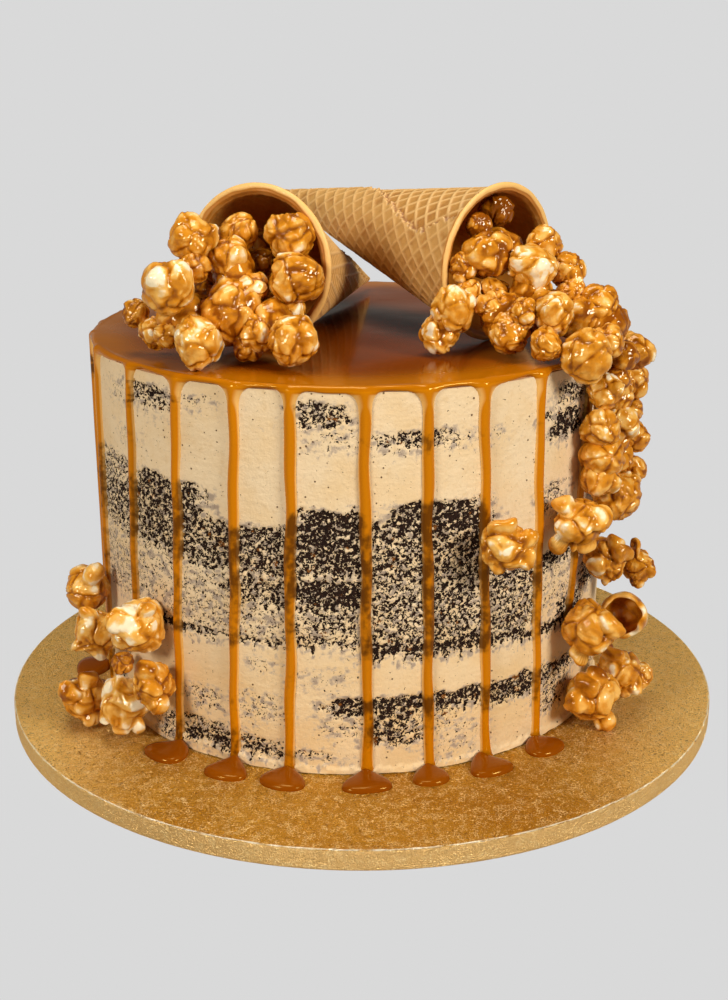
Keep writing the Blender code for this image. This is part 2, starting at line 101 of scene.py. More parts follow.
def add_surface(name, points, quads, triangles=None):
    """A new object from points in millimetres, rows of four and rows of three corners."""
    mesh = bpy.data.meshes.new(name)
    parts = [np.asarray(quads).ravel()]
    starts = [np.arange(len(quads)) * 4]
    if triangles is not None:
        parts.append(np.asarray(triangles).ravel())
        starts.append(len(quads) * 4 + np.arange(len(triangles)) * 3)
    corners = np.concatenate(parts).astype(np.int32)
    first = np.concatenate(starts).astype(np.int32)
    mesh.vertices.add(len(points))
    mesh.vertices.foreach_set("co", (np.asarray(points, float) * MM).ravel())
    mesh.loops.add(len(corners))
    mesh.loops.foreach_set("vertex_index", corners)
    mesh.polygons.add(len(first))
    mesh.polygons.foreach_set("loop_start", first)
    mesh.update(calc_edges=True)
    mesh.shade_smooth()
    made = bpy.data.objects.new(name, mesh)
    bpy.context.scene.collection.objects.link(made)
    return made


def turned_points(radii, levels, columns, middle=(0.0, 0.0)):
    """Points at radius r(row) and level z(row), carried round the axis in equal steps."""
    turn = np.arange(columns) * math.tau / columns
    shape = (len(levels), columns)
    radii = np.broadcast_to(np.asarray(radii, float).reshape(len(levels), -1), shape)
    heights = np.broadcast_to(np.asarray(levels, float).reshape(len(levels), -1), shape)
    x, y = middle
    return np.stack((x + radii * np.sin(turn), y - radii * np.cos(turn), heights), -1)


class Finish:
    """A procedural material, and the kinds of node that this cake's finishes are built from.

    Every input takes a number or a colour, or the output of another node in its place.
    """

    def __init__(self, name):
        self.material = bpy.data.materials.new(name)
        self.material.use_nodes = True
        self.tree = self.material.node_tree
        self.shader = self.tree.nodes["Principled BSDF"]
        self.where = self.node("TexCoord").outputs["Object"]

    def give(self, made, inputs):
        """Set or link a node's inputs. A key is an input's name, or an underscore and its number."""
        for key, value in inputs.items():
            socket = made.inputs[int(key[1:]) if key[0] == "_" else key.replace("_", " ")]
            if isinstance(value, bpy.types.NodeSocket):
                self.tree.links.new(value, socket)
            else:
                socket.default_value = value

    def node(self, kind, properties=(), **inputs):
        """A new node of one kind."""
        made = self.tree.nodes.new("ShaderNode" + kind)
        for key, value in dict(properties).items():
            setattr(made, key, value)
        self.give(made, inputs)
        return made

    def feed(self, **inputs):
        """Give the shader's own inputs."""
        self.give(self.shader, inputs)

    def mix(self, share, first, second):
        """Colour between two, by a share."""
        return self.node("Mix", {"data_type": "RGBA"}, _0=share, _6=first, _7=second).outputs[2]

    def ramp(self, source, low, high, to_low=0.0, to_high=1.0):
        """A number taken smoothly from one range to another."""
        smooth = {"interpolation_type": "SMOOTHSTEP"}
        return self.node("MapRange", smooth, Value=source, From_Min=low, From_Max=high,
                         To_Min=to_low, To_Max=to_high).outputs[0]

    def sum(self, operation, *terms):
        """One step of arithmetic, such as a product or a difference."""
        inputs = {f"_{place}": term for place, term in enumerate(terms)}
        return self.node("Math", {"operation": operation}, **inputs).outputs[0]

    def noise(self, scale, detail=2.0, roughness=0.5, distortion=0.0):
        """Cloudy noise of so many waves a metre."""
        return self.node("TexNoise", Vector=self.where, Scale=scale, Detail=detail,
                         Roughness=roughness, Distortion=distortion).outputs[0]

    def cells(self, scale, feature="F1"):
        """Scattered cells, so many a metre."""
        return self.node("TexVoronoi", {"feature": feature}, Vector=self.where, Scale=scale)

    def painted(self, label):
        """The number that was painted on the mesh's points under a label."""
        return self.node("Attribute", {"attribute_name": label}).outputs["Fac"]

    def bump(self, height, strength, distance):
        """Fine relief, no deeper than a distance in metres."""
        relief = self.node("Bump", Height=height, Strength=strength, Distance=distance)
        self.feed(Normal=relief.outputs[0])


def glowing_paper(name, glow):
    """Paper lit from behind: one radiance for the camera, another for all it lights."""
    paper = Finish(name)
    seen = paper.node("LightPath").outputs["Is Camera Ray"]
    shed = (*(glow * share for share in WARM_WHITE), 1.0)
    radiance = paper.mix(seen, shed, (EVEN_GREY, EVEN_GREY, EVEN_GREY, 1.0))
    paper.feed(Base_Color=(0.0, 0.0, 0.0, 1.0), Specular_IOR_Level=0.0, Emission_Color=radiance,
               Emission_Strength=1.0)
    return paper.material


def make_studio():
    """The table, a disc, and the backdrop that starts at its edge and turns up all round."""
    columns = 96
    cove = np.linspace(0, math.pi / 2, 12)
    bend = BACKDROP_HEIGHT * COVE_SHARE
    turned_up = BACKDROP_RADIUS - bend * (1 - np.sin(cove))
    radii = np.concatenate(([TABLE_RADIUS], turned_up, [BACKDROP_RADIUS]))
    levels = np.concatenate(([0.0], bend * (1 - np.cos(cove)), [BACKDROP_HEIGHT]))
    wall = turned_points(radii, levels, columns).reshape(-1, 3)
    backdrop = add_surface("backdrop", wall, ring_faces(len(radii), columns)[:, ::-1])
    backdrop.data.materials.append(glowing_paper("backdrop_paper", BACKDROP_GLOW))
    disc = np.vstack((turned_points([TABLE_RADIUS], [0.0], columns).reshape(-1, 3), (0.0, 0.0, 0.0)))
    fan = fan_faces(np.arange(columns), columns, True)
    table = add_surface("table", disc, np.zeros((0, 4), int), fan)
    table.data.materials.append(glowing_paper("table_paper", TABLE_GLOW))


make_studio()
for light_name, place, width, power in LIGHTS:
    lamp = bpy.data.lights.new(light_name, "AREA")
    lamp.shape = "SQUARE"
    lamp.size = width
    lamp.energy = power
    lamp_object = bpy.data.objects.new(light_name, lamp)
    lamp_object.location = place
    aim = np.array(LIT_POINT) - np.array(place)
    flat = math.hypot(aim[0], aim[1])
    lamp_object.rotation_euler = (math.atan2(flat, -aim[2]), 0.0, math.atan2(-aim[0], aim[1]))
    bpy.context.scene.collection.objects.link(lamp_object)
world = bpy.data.worlds.new("studio_air")
world.use_nodes = True
world.node_tree.nodes["Background"].inputs["Color"].default_value = AMBIENT_COLOUR
world.node_tree.nodes["Background"].inputs["Strength"].default_value = AMBIENT
bpy.context.scene.world = world
bpy.context.scene.view_settings.view_transform = "Standard"


# ---- Board ----------------------------------------------------------------------------------
# A drum of thick card, wrapped in embossed gold foil that is turned over the edge. The foil
# is finely crinkled all over, and a painted highlight line runs where it folds over the rim.
BOARD_RADIUS = 140.7
BOARD_TOP = 8.0
BOARD_ROUND = 0.9
BOARD_COLUMNS = 480
FOIL_WAVE_TOP = 0.05    # how deep the foil waves, on the top and round the edge
FOIL_WAVE_EDGE = 0.035
FOIL_GOLD = (0.62, 0.290, 0.028, 1.0)
FOIL_DEEP = (0.48, 0.190, 0.008, 1.0)
# Painted light, in order: a reflection paling left and right, glints, crease shade, side reflection,
# rim highlight.
FOIL_PAINTED_REFLECTION = (1.0, 0.60, 0.160, 1.0)
FOIL_GLINT = (1.0, 0.73, 0.33, 1.0)
FOIL_CREASE_SHADE = (0.28, 0.100, 0.010, 1.0)
FOIL_SIDE_REFLECTION = (0.93, 0.57, 0.210, 1.0)
FOIL_RIM_HIGHLIGHT = (1.0, 0.86, 0.60, 1.0)
FOIL_SHEEN = (1.0, 0.74, 0.30, 1.0)


def rough_field(shape, spacing, coarse, fine, seed):
    """A random relief of unit size whose waves lie between two lengths.

    White noise is taken to its waves, each wave is weighed by how its length compares with
    the coarse and the fine limit, and the sum is brought back. Limits are (down, along).
    """
    rng = np.random.default_rng(seed)
    waves = np.fft.rfft2(rng.normal(size=shape))
    down = np.fft.fftfreq(shape[0], spacing[0])[:, None]
    along = np.fft.rfftfreq(shape[1], spacing[1])[None, :]
    too_fine = np.hypot(down * fine[0], along * fine[1])
    too_coarse = np.hypot(down * coarse[0], along * coarse[1])
    field = np.fft.irfft2(waves * (np.exp(-too_fine ** 2) - np.exp(-too_coarse ** 2)), s=shape)
    return field / field.std()


def gold_foil():
    """Gold foil, crinkled a millimetre apart, with painted glints on short fold lines, painted shade
    and painted reflections.
    """
    foil = Finish("gold_foil_crinkled")
    creases = foil.noise(760.0, 2.0, 0.55, 2.2)
    grain = foil.noise(1700.0, 2.0, 0.6)
    # Painted glints along short fold lines: cell edges where a brighter noise rises.
    near_fold = foil.ramp(foil.cells(820.0, "DISTANCE_TO_EDGE").outputs[0], 0.05, 0.12, 1.0, 0.0)
    painted_fold_glints = foil.sum("MULTIPLY", near_fold, foil.ramp(foil.noise(330.0), 0.50, 0.60, 0.0, 0.55))
    aside = foil.sum("ABSOLUTE", foil.node("SeparateXYZ", Vector=foil.where).outputs[0])
    colour = foil.mix(foil.ramp(foil.noise(22.0, 4.0), 0.35, 0.7), FOIL_GOLD, FOIL_DEEP)
    # Towards the left and right the foil is painted paler: a painted reflection of the bright
    # surroundings seen at a glancing angle.
    colour = foil.mix(foil.ramp(aside, 0.070, 0.120, 0.0, 0.9), colour, FOIL_PAINTED_REFLECTION)
    # Painted shade in the crinkles' creases.
    colour = foil.mix(foil.ramp(creases, 0.37, 0.44, 0.8, 0.0), colour, FOIL_CREASE_SHADE)
    # The side below the rim is painted paler: a painted reflection of the bright surroundings in
    # front.
    colour = foil.mix(foil.ramp(foil.painted("side"), 0.0, 1.0, 0.0, 0.85), colour, FOIL_SIDE_REFLECTION)
    # Painted glints on the crinkles' crests.
    colour = foil.mix(foil.ramp(creases, 0.61, 0.665, 0.0, 0.9), colour, FOIL_GLINT)
    colour = foil.mix(painted_fold_glints, colour, FOIL_GLINT)
    # Painted highlight along the foil's fold over the rim.
    colour = foil.mix(foil.ramp(foil.painted("rim_highlight"), 0.2, 0.9), colour, FOIL_RIM_HIGHLIGHT)
    foil.feed(Base_Color=colour, Roughness=foil.ramp(grain, 0.3, 0.7, 0.28, 0.42), Metallic=0.65,
              Specular_Tint=FOIL_SHEEN)
    foil.bump(foil.sum("MULTIPLY_ADD", grain, 0.45, creases), 0.85, 0.0013)
    return foil.material


def closed_rings(grid, ends, rows_go_down):
    """Points, quads and triangles of rings in rows, drawn in to one point at each end."""
    rows, columns = grid.shape[:2]
    count = rows * columns
    first = np.arange(columns)
    quads = ring_faces(rows, columns)
    triangles = np.vstack((fan_faces(first, count, rows_go_down),
                           fan_faces(first + count - columns, count + 1, not rows_go_down)))
    return np.vstack((grid.reshape(-1, 3), ends)), quads[:, ::-1] if rows_go_down else quads, triangles


def paint(piece, label, values, at_ends=()):
    """Keep one number for each point of a piece's mesh, for its material to read."""
    numbers = np.append(np.asarray(values, float).ravel(), at_ends)
    piece.data.attributes.new(label, "FLOAT", "POINT").data.foreach_set("value", numbers)


def make_board():
    """Turned profile of a thick disc with rounded rims, with a faint waviness in the foil."""
    corner = np.linspace(0, math.pi / 2, 6)
    flat = np.concatenate((np.linspace(3.0, BOARD_RADIUS - 4.0, 62), [BOARD_RADIUS - 2.0]))
    inner = BOARD_RADIUS - BOARD_ROUND
    side = np.linspace(BOARD_TOP - BOARD_ROUND, BOARD_ROUND, 9)[1:-1]
    radii = np.concatenate((flat, inner + BOARD_ROUND * np.sin(corner),
                            np.full(len(side), BOARD_RADIUS),
                            inner + BOARD_ROUND * np.cos(corner), [BOARD_RADIUS / 2, 3.0]))
    levels = np.concatenate((np.full(len(flat), BOARD_TOP),
                             BOARD_TOP - BOARD_ROUND + BOARD_ROUND * np.cos(corner), side,
                             BOARD_ROUND - BOARD_ROUND * np.sin(corner), [0.0, 0.0]))
    wave = rough_field((len(radii), BOARD_COLUMNS), (2.2, 1.83), (9.0, 26.0), (3.0, 3.4), 11)
    top = levels >= BOARD_TOP - 0.01
    rim = (levels < BOARD_TOP - 0.01) & (levels > 0.01)
    heights = levels[:, None] - FOIL_WAVE_TOP * np.abs(wave) * top[:, None]
    widths = radii[:, None] - FOIL_WAVE_EDGE * np.abs(wave) * rim[:, None]
    skin = turned_points(widths, heights, BOARD_COLUMNS)
    middles = ((0.0, 0.0, BOARD_TOP), (0.0, 0.0, 0.0))
    board = add_surface("board_foil", *closed_rings(skin, middles, True))
    # A thin band along the fold over the rim, marked for its painted highlight.
    rim_highlight = np.exp(-((radii - inner - 0.5) / 0.28) ** 2) * (levels > BOARD_TOP - BOARD_ROUND - 0.01)
    paint(board, "rim_highlight", np.clip(rim_highlight[:, None] * (0.85 + 0.3 * wave), 0, 1), (0, 0))
    # Marks the side below the rim for its paler painted reflection.
    below_rim = (levels < BOARD_TOP - 0.5 * BOARD_ROUND)[:, None]
    paint(board, "side", np.broadcast_to(below_rim, wave.shape), (0, 0))
    board.data.materials.append(gold_foil())
    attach(board, "root")
    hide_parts("cake_board")


make_board()


# ---- Sponges, fillings and their scraped coat -----------------------------------------------
# Dark chocolate sponges with buttercream between, stacked and coated, and the coat scraped
# so thin that crumb shows through wherever a sponge stands proud. Each layer is its own
# disc, and its side is the coat over it.
CAKE_X = -3.8
CAKE_Y = 8.1
CAKE_RADIUS = 99.4
LAYERS = (              # name, level of its upper face, what it is made of
    ("sponge_bottom", 37.0, "sponge"),
    ("filling_lower", 53.0, "buttercream"),
    ("sponge_middle_lower", 79.0, "sponge"),
    ("filling_middle", 80.8, "buttercream"),
    ("sponge_middle_upper", 108.0, "sponge"),
    ("filling_upper", 126.0, "buttercream"),
    ("sponge_top", 143.0, "sponge"),
    ("buttercream_top", 147.0, "buttercream"),
)
LAYER_FLOOR = 8.3
COAT_STEP = 0.6         # between points of the coat, both ways
COAT_COLUMNS = 1040
COAT_THICKNESS = 0.55   # how deep the scraper bared the crumb
SWELL_DEPTH = 0.08      # broad unevenness of the side
STREAK_DEPTH = 0.018    # marks of the scraper
CRUMB_DEPTH = 0.16      # grain of the bared sponge
# Where the crumb shows, and one patch of painted shadow: bearings from and to, levels from and to,
# share of it that is bare
BARE_PATCHES = (
    (-60, -53, 133, 141, 0.25), (-51, -37.5, 135.5, 143, 0.68), (-46, -41, 132, 137, 0.25),
    (-35, -28, 138, 142.5, 0.3), (-11, -1, 134.5, 143, 0.66), (-7, 6, 127.5, 133, 0.28),
    (4, 22, 127, 133.5, 0.45), (8, 18, 128, 133, 0.70), (20, 31, 127, 132, 0.2),
    (44, 56, 123, 132.5, 1.0), (46, 60, 134, 142, 0.62), (-57, -50, 119, 125, 0.22),
    (-72, -52, 82, 113, 0.50), (-68, -54, 88, 103, 0.62), (-52, -38, 83, 111, 0.70),
    (-50, -38, 96, 110, 0.80), (-38, -31, 82, 110.5, 0.78), (-37, -31, 98, 110, 0.90),
    (-32, -11, 81, 99.5, 0.72), (-12, 3, 82, 101, 0.87), (-10, 3, 97, 106.5, 1.0),
    (3, 10, 82, 103, 0.62), (8, 26.5, 96, 108.5, 0.90), (4, 27, 82, 101, 0.68),
    # The first patch on the next line, 23 to 28 degrees and 80 to 104 mm, is painted shadow of the
    # kernel stuck in front of it.
    (23, 28, 80, 104, 0.92), (-27, -11, 71, 80.5, 0.66), (-12, 3, 70.5, 80.5, 1.0),
    (-9, 3, 61, 73, 0.60), (-52, -38, 60, 84, 0.30), (-40, -10, 58, 80, 0.34),
    (-68, -50, 58, 82, 0.26), (-12, 3, 56, 72, 0.40), (3, 28, 56, 84, 0.58), (15, 28, 58, 84, 0.66),
    (28, 43, 54, 79, 0.60), (28, 43, 70, 80, 0.70), (42, 60, 75, 81, 0.90), (43, 50, 96, 107, 0.50),
    (42, 58, 56, 75, 0.28), (-46, -31, 55, 58.5, 0.85), (-32, -12, 55.5, 58.5, 0.66),
    (-12, 3, 56.5, 59.5, 0.66), (-46, -44, 50, 58, 0.6), (2, 31, 52, 58, 0.90),
    (30, 39, 51, 56, 0.80), (37, 51, 49.5, 53, 0.85), (49, 60, 50, 60, 0.85),
    (-38, -25, 12.5, 22, 0.55), (-38, -25, 12.5, 17, 0.90), (-46, -37, 9, 20, 0.55),
    (-26, -14, 12.8, 19.5, 0.62), (-26, -16, 12.8, 15.5, 0.82), (-15, -2, 12.8, 17, 0.42),
    (-24, -14, 27, 37, 0.30), (-38, -27, 27, 35, 0.34), (-5, 30, 31, 37.6, 0.92),
    (-5, 4, 22, 32, 0.34), (3, 14, 19, 32, 0.66), (13, 22, 23, 32, 0.38),
    (29, 46, 28.5, 37.2, 0.85), (15, 28, 12, 24, 0.18), (44, 54, 17, 33, 0.52),
    (45, 58, 30, 36.5, 0.72), (-20, -16, 46, 50, 0.32), (-12, 0, 40, 48, 0.16),
)
# The coat's foot is left standing as a ledge, which is highest at one bearing
FOOT_LEVEL = 10.2
FOOT_RISE = 2.3
FOOT_RISE_AT = -38.0
FOOT_RISE_REACH = 22.0
FOOT_PROUD = 0.70       # how far it stands out at least
FOOT_UNEVEN = 0.35      # and how much further in places
SPONGE_BANDS = ((13.0, 37.0), (54.0, 79.0), (82.0, 108.0), (127.0, 143.0))
BACK_PATCHES_PER_BAND = 8
BACK_FROM = 60.0        # bearing where the side that the photograph doesn't show begins
BACK_REACH = 240.0      # and how far round it goes
CREAM = (0.79, 0.588, 0.345, 1.0)
CREAM_WARM = (0.745, 0.505, 0.245, 1.0)
CREAM_TAN = (0.66, 0.43, 0.20, 1.0)
CREAM_GREY = (0.52, 0.39, 0.265, 1.0)
SMEARED_CREAM = (0.32, 0.235, 0.165, 1.0)
CRUMB_DARK = (0.0095, 0.0036, 0.0016, 1.0)
CRUMB_BROWN = (0.050, 0.018, 0.007, 1.0)
CRUMB_TOASTED = (0.26, 0.085, 0.012, 1.0)
CRUMB_RUSSET = (0.105, 0.042, 0.014, 1.0)


def eased(value, low, high):
    """0 below the low end, 1 above the high end, and a smooth S between."""
    share = np.clip((value - low) / (high - low), 0.0, 1.0)
    return share * share * (3 - 2 * share)


def all_bare_patches():
    """The patches seen from the front, and as many again round the back by chance."""
    rng = np.random.default_rng(5)
    patches = list(BARE_PATCHES)
    for low, high in SPONGE_BANDS:
        for count in range(BACK_PATCHES_PER_BAND):
            start = BACK_FROM + BACK_REACH / BACK_PATCHES_PER_BAND * (count + rng.uniform(-0.3, 0.3))
            width = rng.uniform(14, 34)
            tall = (high - low) * rng.uniform(0.3, 1.0)
            bottom = rng.uniform(low, high - tall)
            patches.append((start, start + width, bottom, bottom + tall, rng.uniform(0.25, 0.9)))
    return patches


def bare_share(bearings, levels, ragged, soft_along, soft_up):
    """How bare the coat is at each place: the strongest patch there, its edges eased out.

    The scraper left a patch's upper edge clean, and the lower one torn by the ragged amount.
    """
    share = np.zeros(np.broadcast(bearings, levels).shape)
    for left, right, low, high, strength in all_bare_patches():
        middle = (left + right) / 2
        off = (bearings - middle + 180.0) % 360.0 - 180.0
        inside_along = eased((right - left) / 2 - np.abs(off), -soft_along, soft_along)
        inside_up = eased(high - levels, -0.6 * soft_up, 0.6 * soft_up)
        inside_up = inside_up * eased(levels + ragged - low, -1.3 * soft_up, 1.3 * soft_up)
        share = np.maximum(share, strength * inside_along * inside_up)
    return share


class Coat:
    """The coat's whole side on one grid of bearings and levels, shared by all the layers."""

    edges = (LAYER_FLOOR,) + tuple(layer[1] for layer in LAYERS)
    steps = tuple(max(2, round((high - low) / COAT_STEP)) for low, high in zip(edges, edges[1:]))
    levels = np.concatenate([np.linspace(low, high, count, endpoint=False)
                             for low, high, count in zip(edges, edges[1:], steps)] + [[edges[-1]]])
    bearings = np.arange(COAT_COLUMNS) * 360.0 / COAT_COLUMNS
    shape = (len(levels), COAT_COLUMNS)

    @classmethod
    def relief(cls, coarse, fine, seed):
        """A random relief over the whole side."""
        return rough_field(cls.shape, (COAT_STEP, COAT_STEP), coarse, fine, seed)


# How far the edges of the bare patches wander, in degrees and millimetres, and are torn
wander_along = 1.1 * Coat.relief((30, 30), (6, 6), 21) + 0.45 * Coat.relief((7, 7), (2, 2), 22)
wander_up = 0.45 * Coat.relief((30, 50), (6, 9), 23) + 0.28 * Coat.relief((7, 7), (2, 2), 24)
ragged_edge = 1.0 * Coat.relief((20, 6), (5, 1.4), 33)
warped_bearings = Coat.bearings[None, :] + wander_along
warped_levels = Coat.levels[:, None] + wander_up
clumps = Coat.relief((7, 7), (1.5, 1.5), 25)
# The share of crumb that shows at each point of the coat, and of cream that crumb has greyed
bare = bare_share(warped_bearings, warped_levels, ragged_edge, 2.2, 0.8)
bare = np.clip(bare * (1 + 0.36 * clumps), 0.0, 1.0)
smear = bare_share(warped_bearings, warped_levels, ragged_edge, 4.0, 2.6)
smear = np.sqrt(smear) * (0.82 + 0.5 * Coat.relief((9, 14), (2.5, 3.5), 26))
smear = np.clip(smear, 0.0, 1.0)


def coat_radius():
    """Radius of the coat's skin: lower where bare, streaked by the scraper, with a foot lip."""
    crumb = Coat.relief((4.0, 4.0), (1.3, 1.3), 27)
    streaks = Coat.relief((3.5, 60.0), (1.2, 14.0), 28)
    swell = Coat.relief((60.0, 120.0), (20.0, 30.0), 29)
    level = Coat.levels[:, None]
    bared = eased(bare, 0.3, 0.75)
    round_front = (Coat.bearings + 180.0) % 360.0 - 180.0
    ragged = FOOT_LEVEL + FOOT_RISE * np.exp(-((round_front - FOOT_RISE_AT) / FOOT_RISE_REACH) ** 2)
    ragged = ragged + 0.45 * Coat.relief((200.0, 16.0), (100.0, 2.2), 30)[:1]
    lip = 1.0 - eased(level, ragged - 0.15, ragged + 0.30)
    torn = FOOT_PROUD + FOOT_UNEVEN * eased(Coat.relief((40.0, 40.0), (6.0, 9.0), 32), -0.8, 0.6)
    skin = CAKE_RADIUS + SWELL_DEPTH * swell + STREAK_DEPTH * streaks * (1 - bared) + torn * lip
    return skin - COAT_THICKNESS * bared * (1 - lip) + CRUMB_DEPTH * crumb * (0.12 + bared)


def freckles(coat, size, widest, share):
    """Dots in scattered cells: the share that chance leaves out, and the widest dot's radius."""
    dots = coat.cells(size)
    chance = coat.node("SeparateColor", Color=dots.outputs["Color"])
    reach = coat.ramp(chance.outputs[1], 0.0, 1.0, 0.3 * widest, widest)
    past = coat.sum("SUBTRACT", dots.outputs["Distance"], reach)
    return coat.sum("MULTIPLY", coat.ramp(past, -0.03, 0.01, 1.0, 0.0),
                    coat.ramp(chance.outputs[0], share, share + 0.03))


def scraped_coat():
    """Buttercream over dark crumb: the crumb shows where a fine noise falls below `bare`."""
    coat = Finish("scraped_coat")
    bare_here, smear_here = coat.painted("bare"), coat.painted("smear")
    limit = coat.node("MapRange", Value=bare_here, From_Max=1.0, To_Min=0.27, To_Max=0.655).outputs[0]
    depth = coat.sum("SUBTRACT", limit, coat.noise(1180.0, 2.0, 0.5, 0.9))
    crumb_shows = coat.ramp(depth, -0.015, 0.02)
    thin = coat.ramp(depth, -0.08, -0.01, 0.0, 0.35)

    level = coat.node("SeparateXYZ", Vector=coat.where).outputs[2]
    warmth = coat.sum("ADD", coat.ramp(coat.noise(60.0, 4.0), 0.35, 0.75, 0.0, 0.7),
                      coat.ramp(level, 0.025, 0.085, 0.55, 0.0))
    cream = coat.mix(warmth, CREAM, CREAM_WARM)
    cream = coat.mix(coat.ramp(coat.noise(330.0, 3.0, 0.6), 0.50, 0.80, 0.0, 0.5), cream, CREAM_TAN)
    halo = coat.sum("MULTIPLY_ADD", bare_here, -0.98, smear_here)
    dusty = coat.sum("MULTIPLY_ADD", halo, 0.75, coat.noise(750.0, 4.0, 0.7))
    cream = coat.mix(coat.ramp(dusty, 0.58, 0.82, 0.0, 0.8), cream, CREAM_GREY)
    cream = coat.mix(coat.ramp(dusty, 0.74, 1.00, 0.0, 0.75), cream, SMEARED_CREAM)
    cream = coat.mix(coat.sum("MULTIPLY", thin, smear_here), cream, SMEARED_CREAM)
    dots = coat.sum("MAXIMUM", freckles(coat, 170.0, 0.075, 0.72), freckles(coat, 400.0, 0.16, 0.48))
    cream = coat.mix(coat.sum("MULTIPLY", dots, 0.9), cream, CRUMB_RUSSET)
    crumb = coat.mix(coat.ramp(coat.noise(2300.0), 0.45, 0.75), CRUMB_DARK, CRUMB_BROWN)
    crumb = coat.mix(coat.ramp(coat.noise(260.0), 0.66, 0.72, 0.0, 0.8), crumb, CRUMB_TOASTED)
    coat.feed(Base_Color=coat.mix(crumb_shows, cream, crumb), Specular_IOR_Level=0.16,
              Roughness=coat.ramp(crumb_shows, 0.0, 1.0, 0.48, 0.85))

    height = coat.sum("MULTIPLY_ADD", crumb_shows, -1.6, coat.noise(700.0, 4.0, 0.65))
    coat.bump(coat.sum("MULTIPLY_ADD", dots, -1.2, height), 0.75, 0.00045)
    return coat.material


def chocolate_sponge():
    """Open dark crumb, for the cut faces of the sponges."""
    sponge = Finish("chocolate_sponge")
    holes = sponge.noise(420.0, 4.0, 0.6)
    colour = sponge.mix(sponge.ramp(holes, 0.4, 0.7), CRUMB_DARK, CRUMB_BROWN)
    sponge.feed(Base_Color=colour, Roughness=0.85)
    sponge.bump(holes, 0.8, 0.0008)
    return sponge.material


def spread_buttercream():
    """Smooth buttercream, for the cut faces of the fillings."""
    cream = Finish("spread_buttercream")
    swirl = cream.noise(90.0, 5.0, 0.5, 1.2)
    colour = cream.mix(cream.ramp(swirl, 0.35, 0.7), CREAM, CREAM_WARM)
    cream.feed(Base_Color=colour, Roughness=0.5)
    cream.bump(swirl, 0.4, 0.0006)
    return cream.material


def make_layer(name, first_row, last_row, skin, finishes):
    """One disc: its rows of the shared coat round the side, and a flat face at each end."""
    rows = slice(first_row, last_row + 1)
    levels = Coat.levels[rows]
    side = turned_points(skin[rows], levels, COAT_COLUMNS, (CAKE_X, CAKE_Y))
    ends = ((CAKE_X, CAKE_Y, levels[0]), (CAKE_X, CAKE_Y, levels[-1]))
    points, quads, triangles = closed_rings(side, ends, False)
    layer = add_surface(name, points, quads, triangles)
    for finish in finishes:
        layer.data.materials.append(finish)
    cut_faces = np.repeat(np.array((0, 1), np.int32), (len(quads), len(triangles)))
    layer.data.polygons.foreach_set("material_index", cut_faces)
    layer.data.set_sharp_from_angle(angle=math.radians(60))
    paint(layer, "bare", bare[rows], (0, 0))
    paint(layer, "smear", smear[rows], (0, 0))
    return layer


coat_skin = coat_radius()
coat_finish = scraped_coat()
inside_finish = {"sponge": chocolate_sponge(), "buttercream": spread_buttercream()}
row = 0
for (layer_name, _, made_of), step_count in zip(LAYERS, Coat.steps):
    disc = make_layer(layer_name + "_dressed", row, row + step_count, coat_skin,
                      (coat_finish, inside_finish[made_of]))
    row += step_count
    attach(disc, "root")
    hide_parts(layer_name)


# ---- Poured caramel -------------------------------------------------------------------------
# Warm caramel poured over the top until it ran: a level cap, a lip that hangs in arches
# between the drips, and a thin strand down the side at each drip. It is one skin. Between
# the strands it dips under the coat, out of sight.
ICING_TOP = 149.2
ICING_UNDER = 147.3
CAP_RIPPLE = 0.10
CAP_ROUND = 2.3         # how far the cap rounds over at the cake's edge
LIP_DEPTH = 1.9
LIP_UNEVEN = 0.4
LIP_PROUD = 1.3
DRIP_HALF_WIDTH = 2.05
DRIP_PROUD = 1.9
FOOT_FLARE = 1.5        # how much wider a strand grows on each side where it meets the board
FLARE_HEIGHT = 1.4
ARCH_HEIGHT = 6.8       # the lip runs into each strand through an arch this high
ARCH_SLENDER = 1.25     # and so many times narrower
SUNK = 1.7              # how far the skin dips under the coat
ARCHES_END = 134.0      # rows of points lie close together down to here
CAP_FINE_TO = 71.0      # and those of the cap as far in as this radius
FRONT_DRIPS = (         # bearings at rim and foot, level of the foot, the pool's bearing and size
    (-68.6, -72.5, 8.0, -72.0, 1.5), (-50.4, -53.2, 46.0, -53.2, 1.0),
    (-36.3, -39.4, 8.0, -38.4, 1.06), (-22.7, -24.9, 8.0, -24.2, 1.0),
    (-11.2, -12.6, 8.0, -12.8, 1.02), (2.7, 3.5, 8.0, 3.0, 1.02), (14.8, 16.2, 8.0, 15.4, 0.86),
    (26.7, 29.3, 8.0, 27.4, 1.0), (40.6, 43.3, 8.0, 41.4, 0.97),
)
HIDDEN_DRIPS = (        # behind the popcorn
    (59.5, 53.8, 50.0, 53.8, 0.9), (67.0, 67.5, 105.0, 67.5, 0.9),
)
BACK_DRIPS_FROM = 94.0
BACK_DRIPS = 15
DRIP_STEP = 13.1
BACK_DRIP_SWAY = 1.8
BACK_DRIP_LEAN = 0.5
DRIP_SEED = 27
POOL_LENGTH = 15.6
POOL_WIDTH = 13.6
POOL_HEIGHT = 2.7
POOL_TAPER = 0.34       # how much narrower a pool is where its strand ends
POOL_DRAWN_UP = 4.2     # how high a pool is drawn up there
POOL_DEPTH = 1.9        # so many half widths of a strand, for its colour
CAP_DEPTH = 2.0         # the cap's middle, likewise
RIM_DEPTH = 1.62        # and its rim
CAP_RING_RATIO = 3      # so many times fewer points lie in each of the cap's inner rings
CARAMEL_THIN = (0.80, 0.44, 0.125, 1.0)
CARAMEL_STRAND = (0.54, 0.165, 0.0010, 1.0)
CARAMEL_DEEP = (0.19, 0.036, 0.0003, 1.0)
CARAMEL_OVER_CRUMB = (0.085, 0.019, 0.0005, 1.0)
CARAMEL_SHEEN = (1.0, 0.70, 0.16, 1.0)


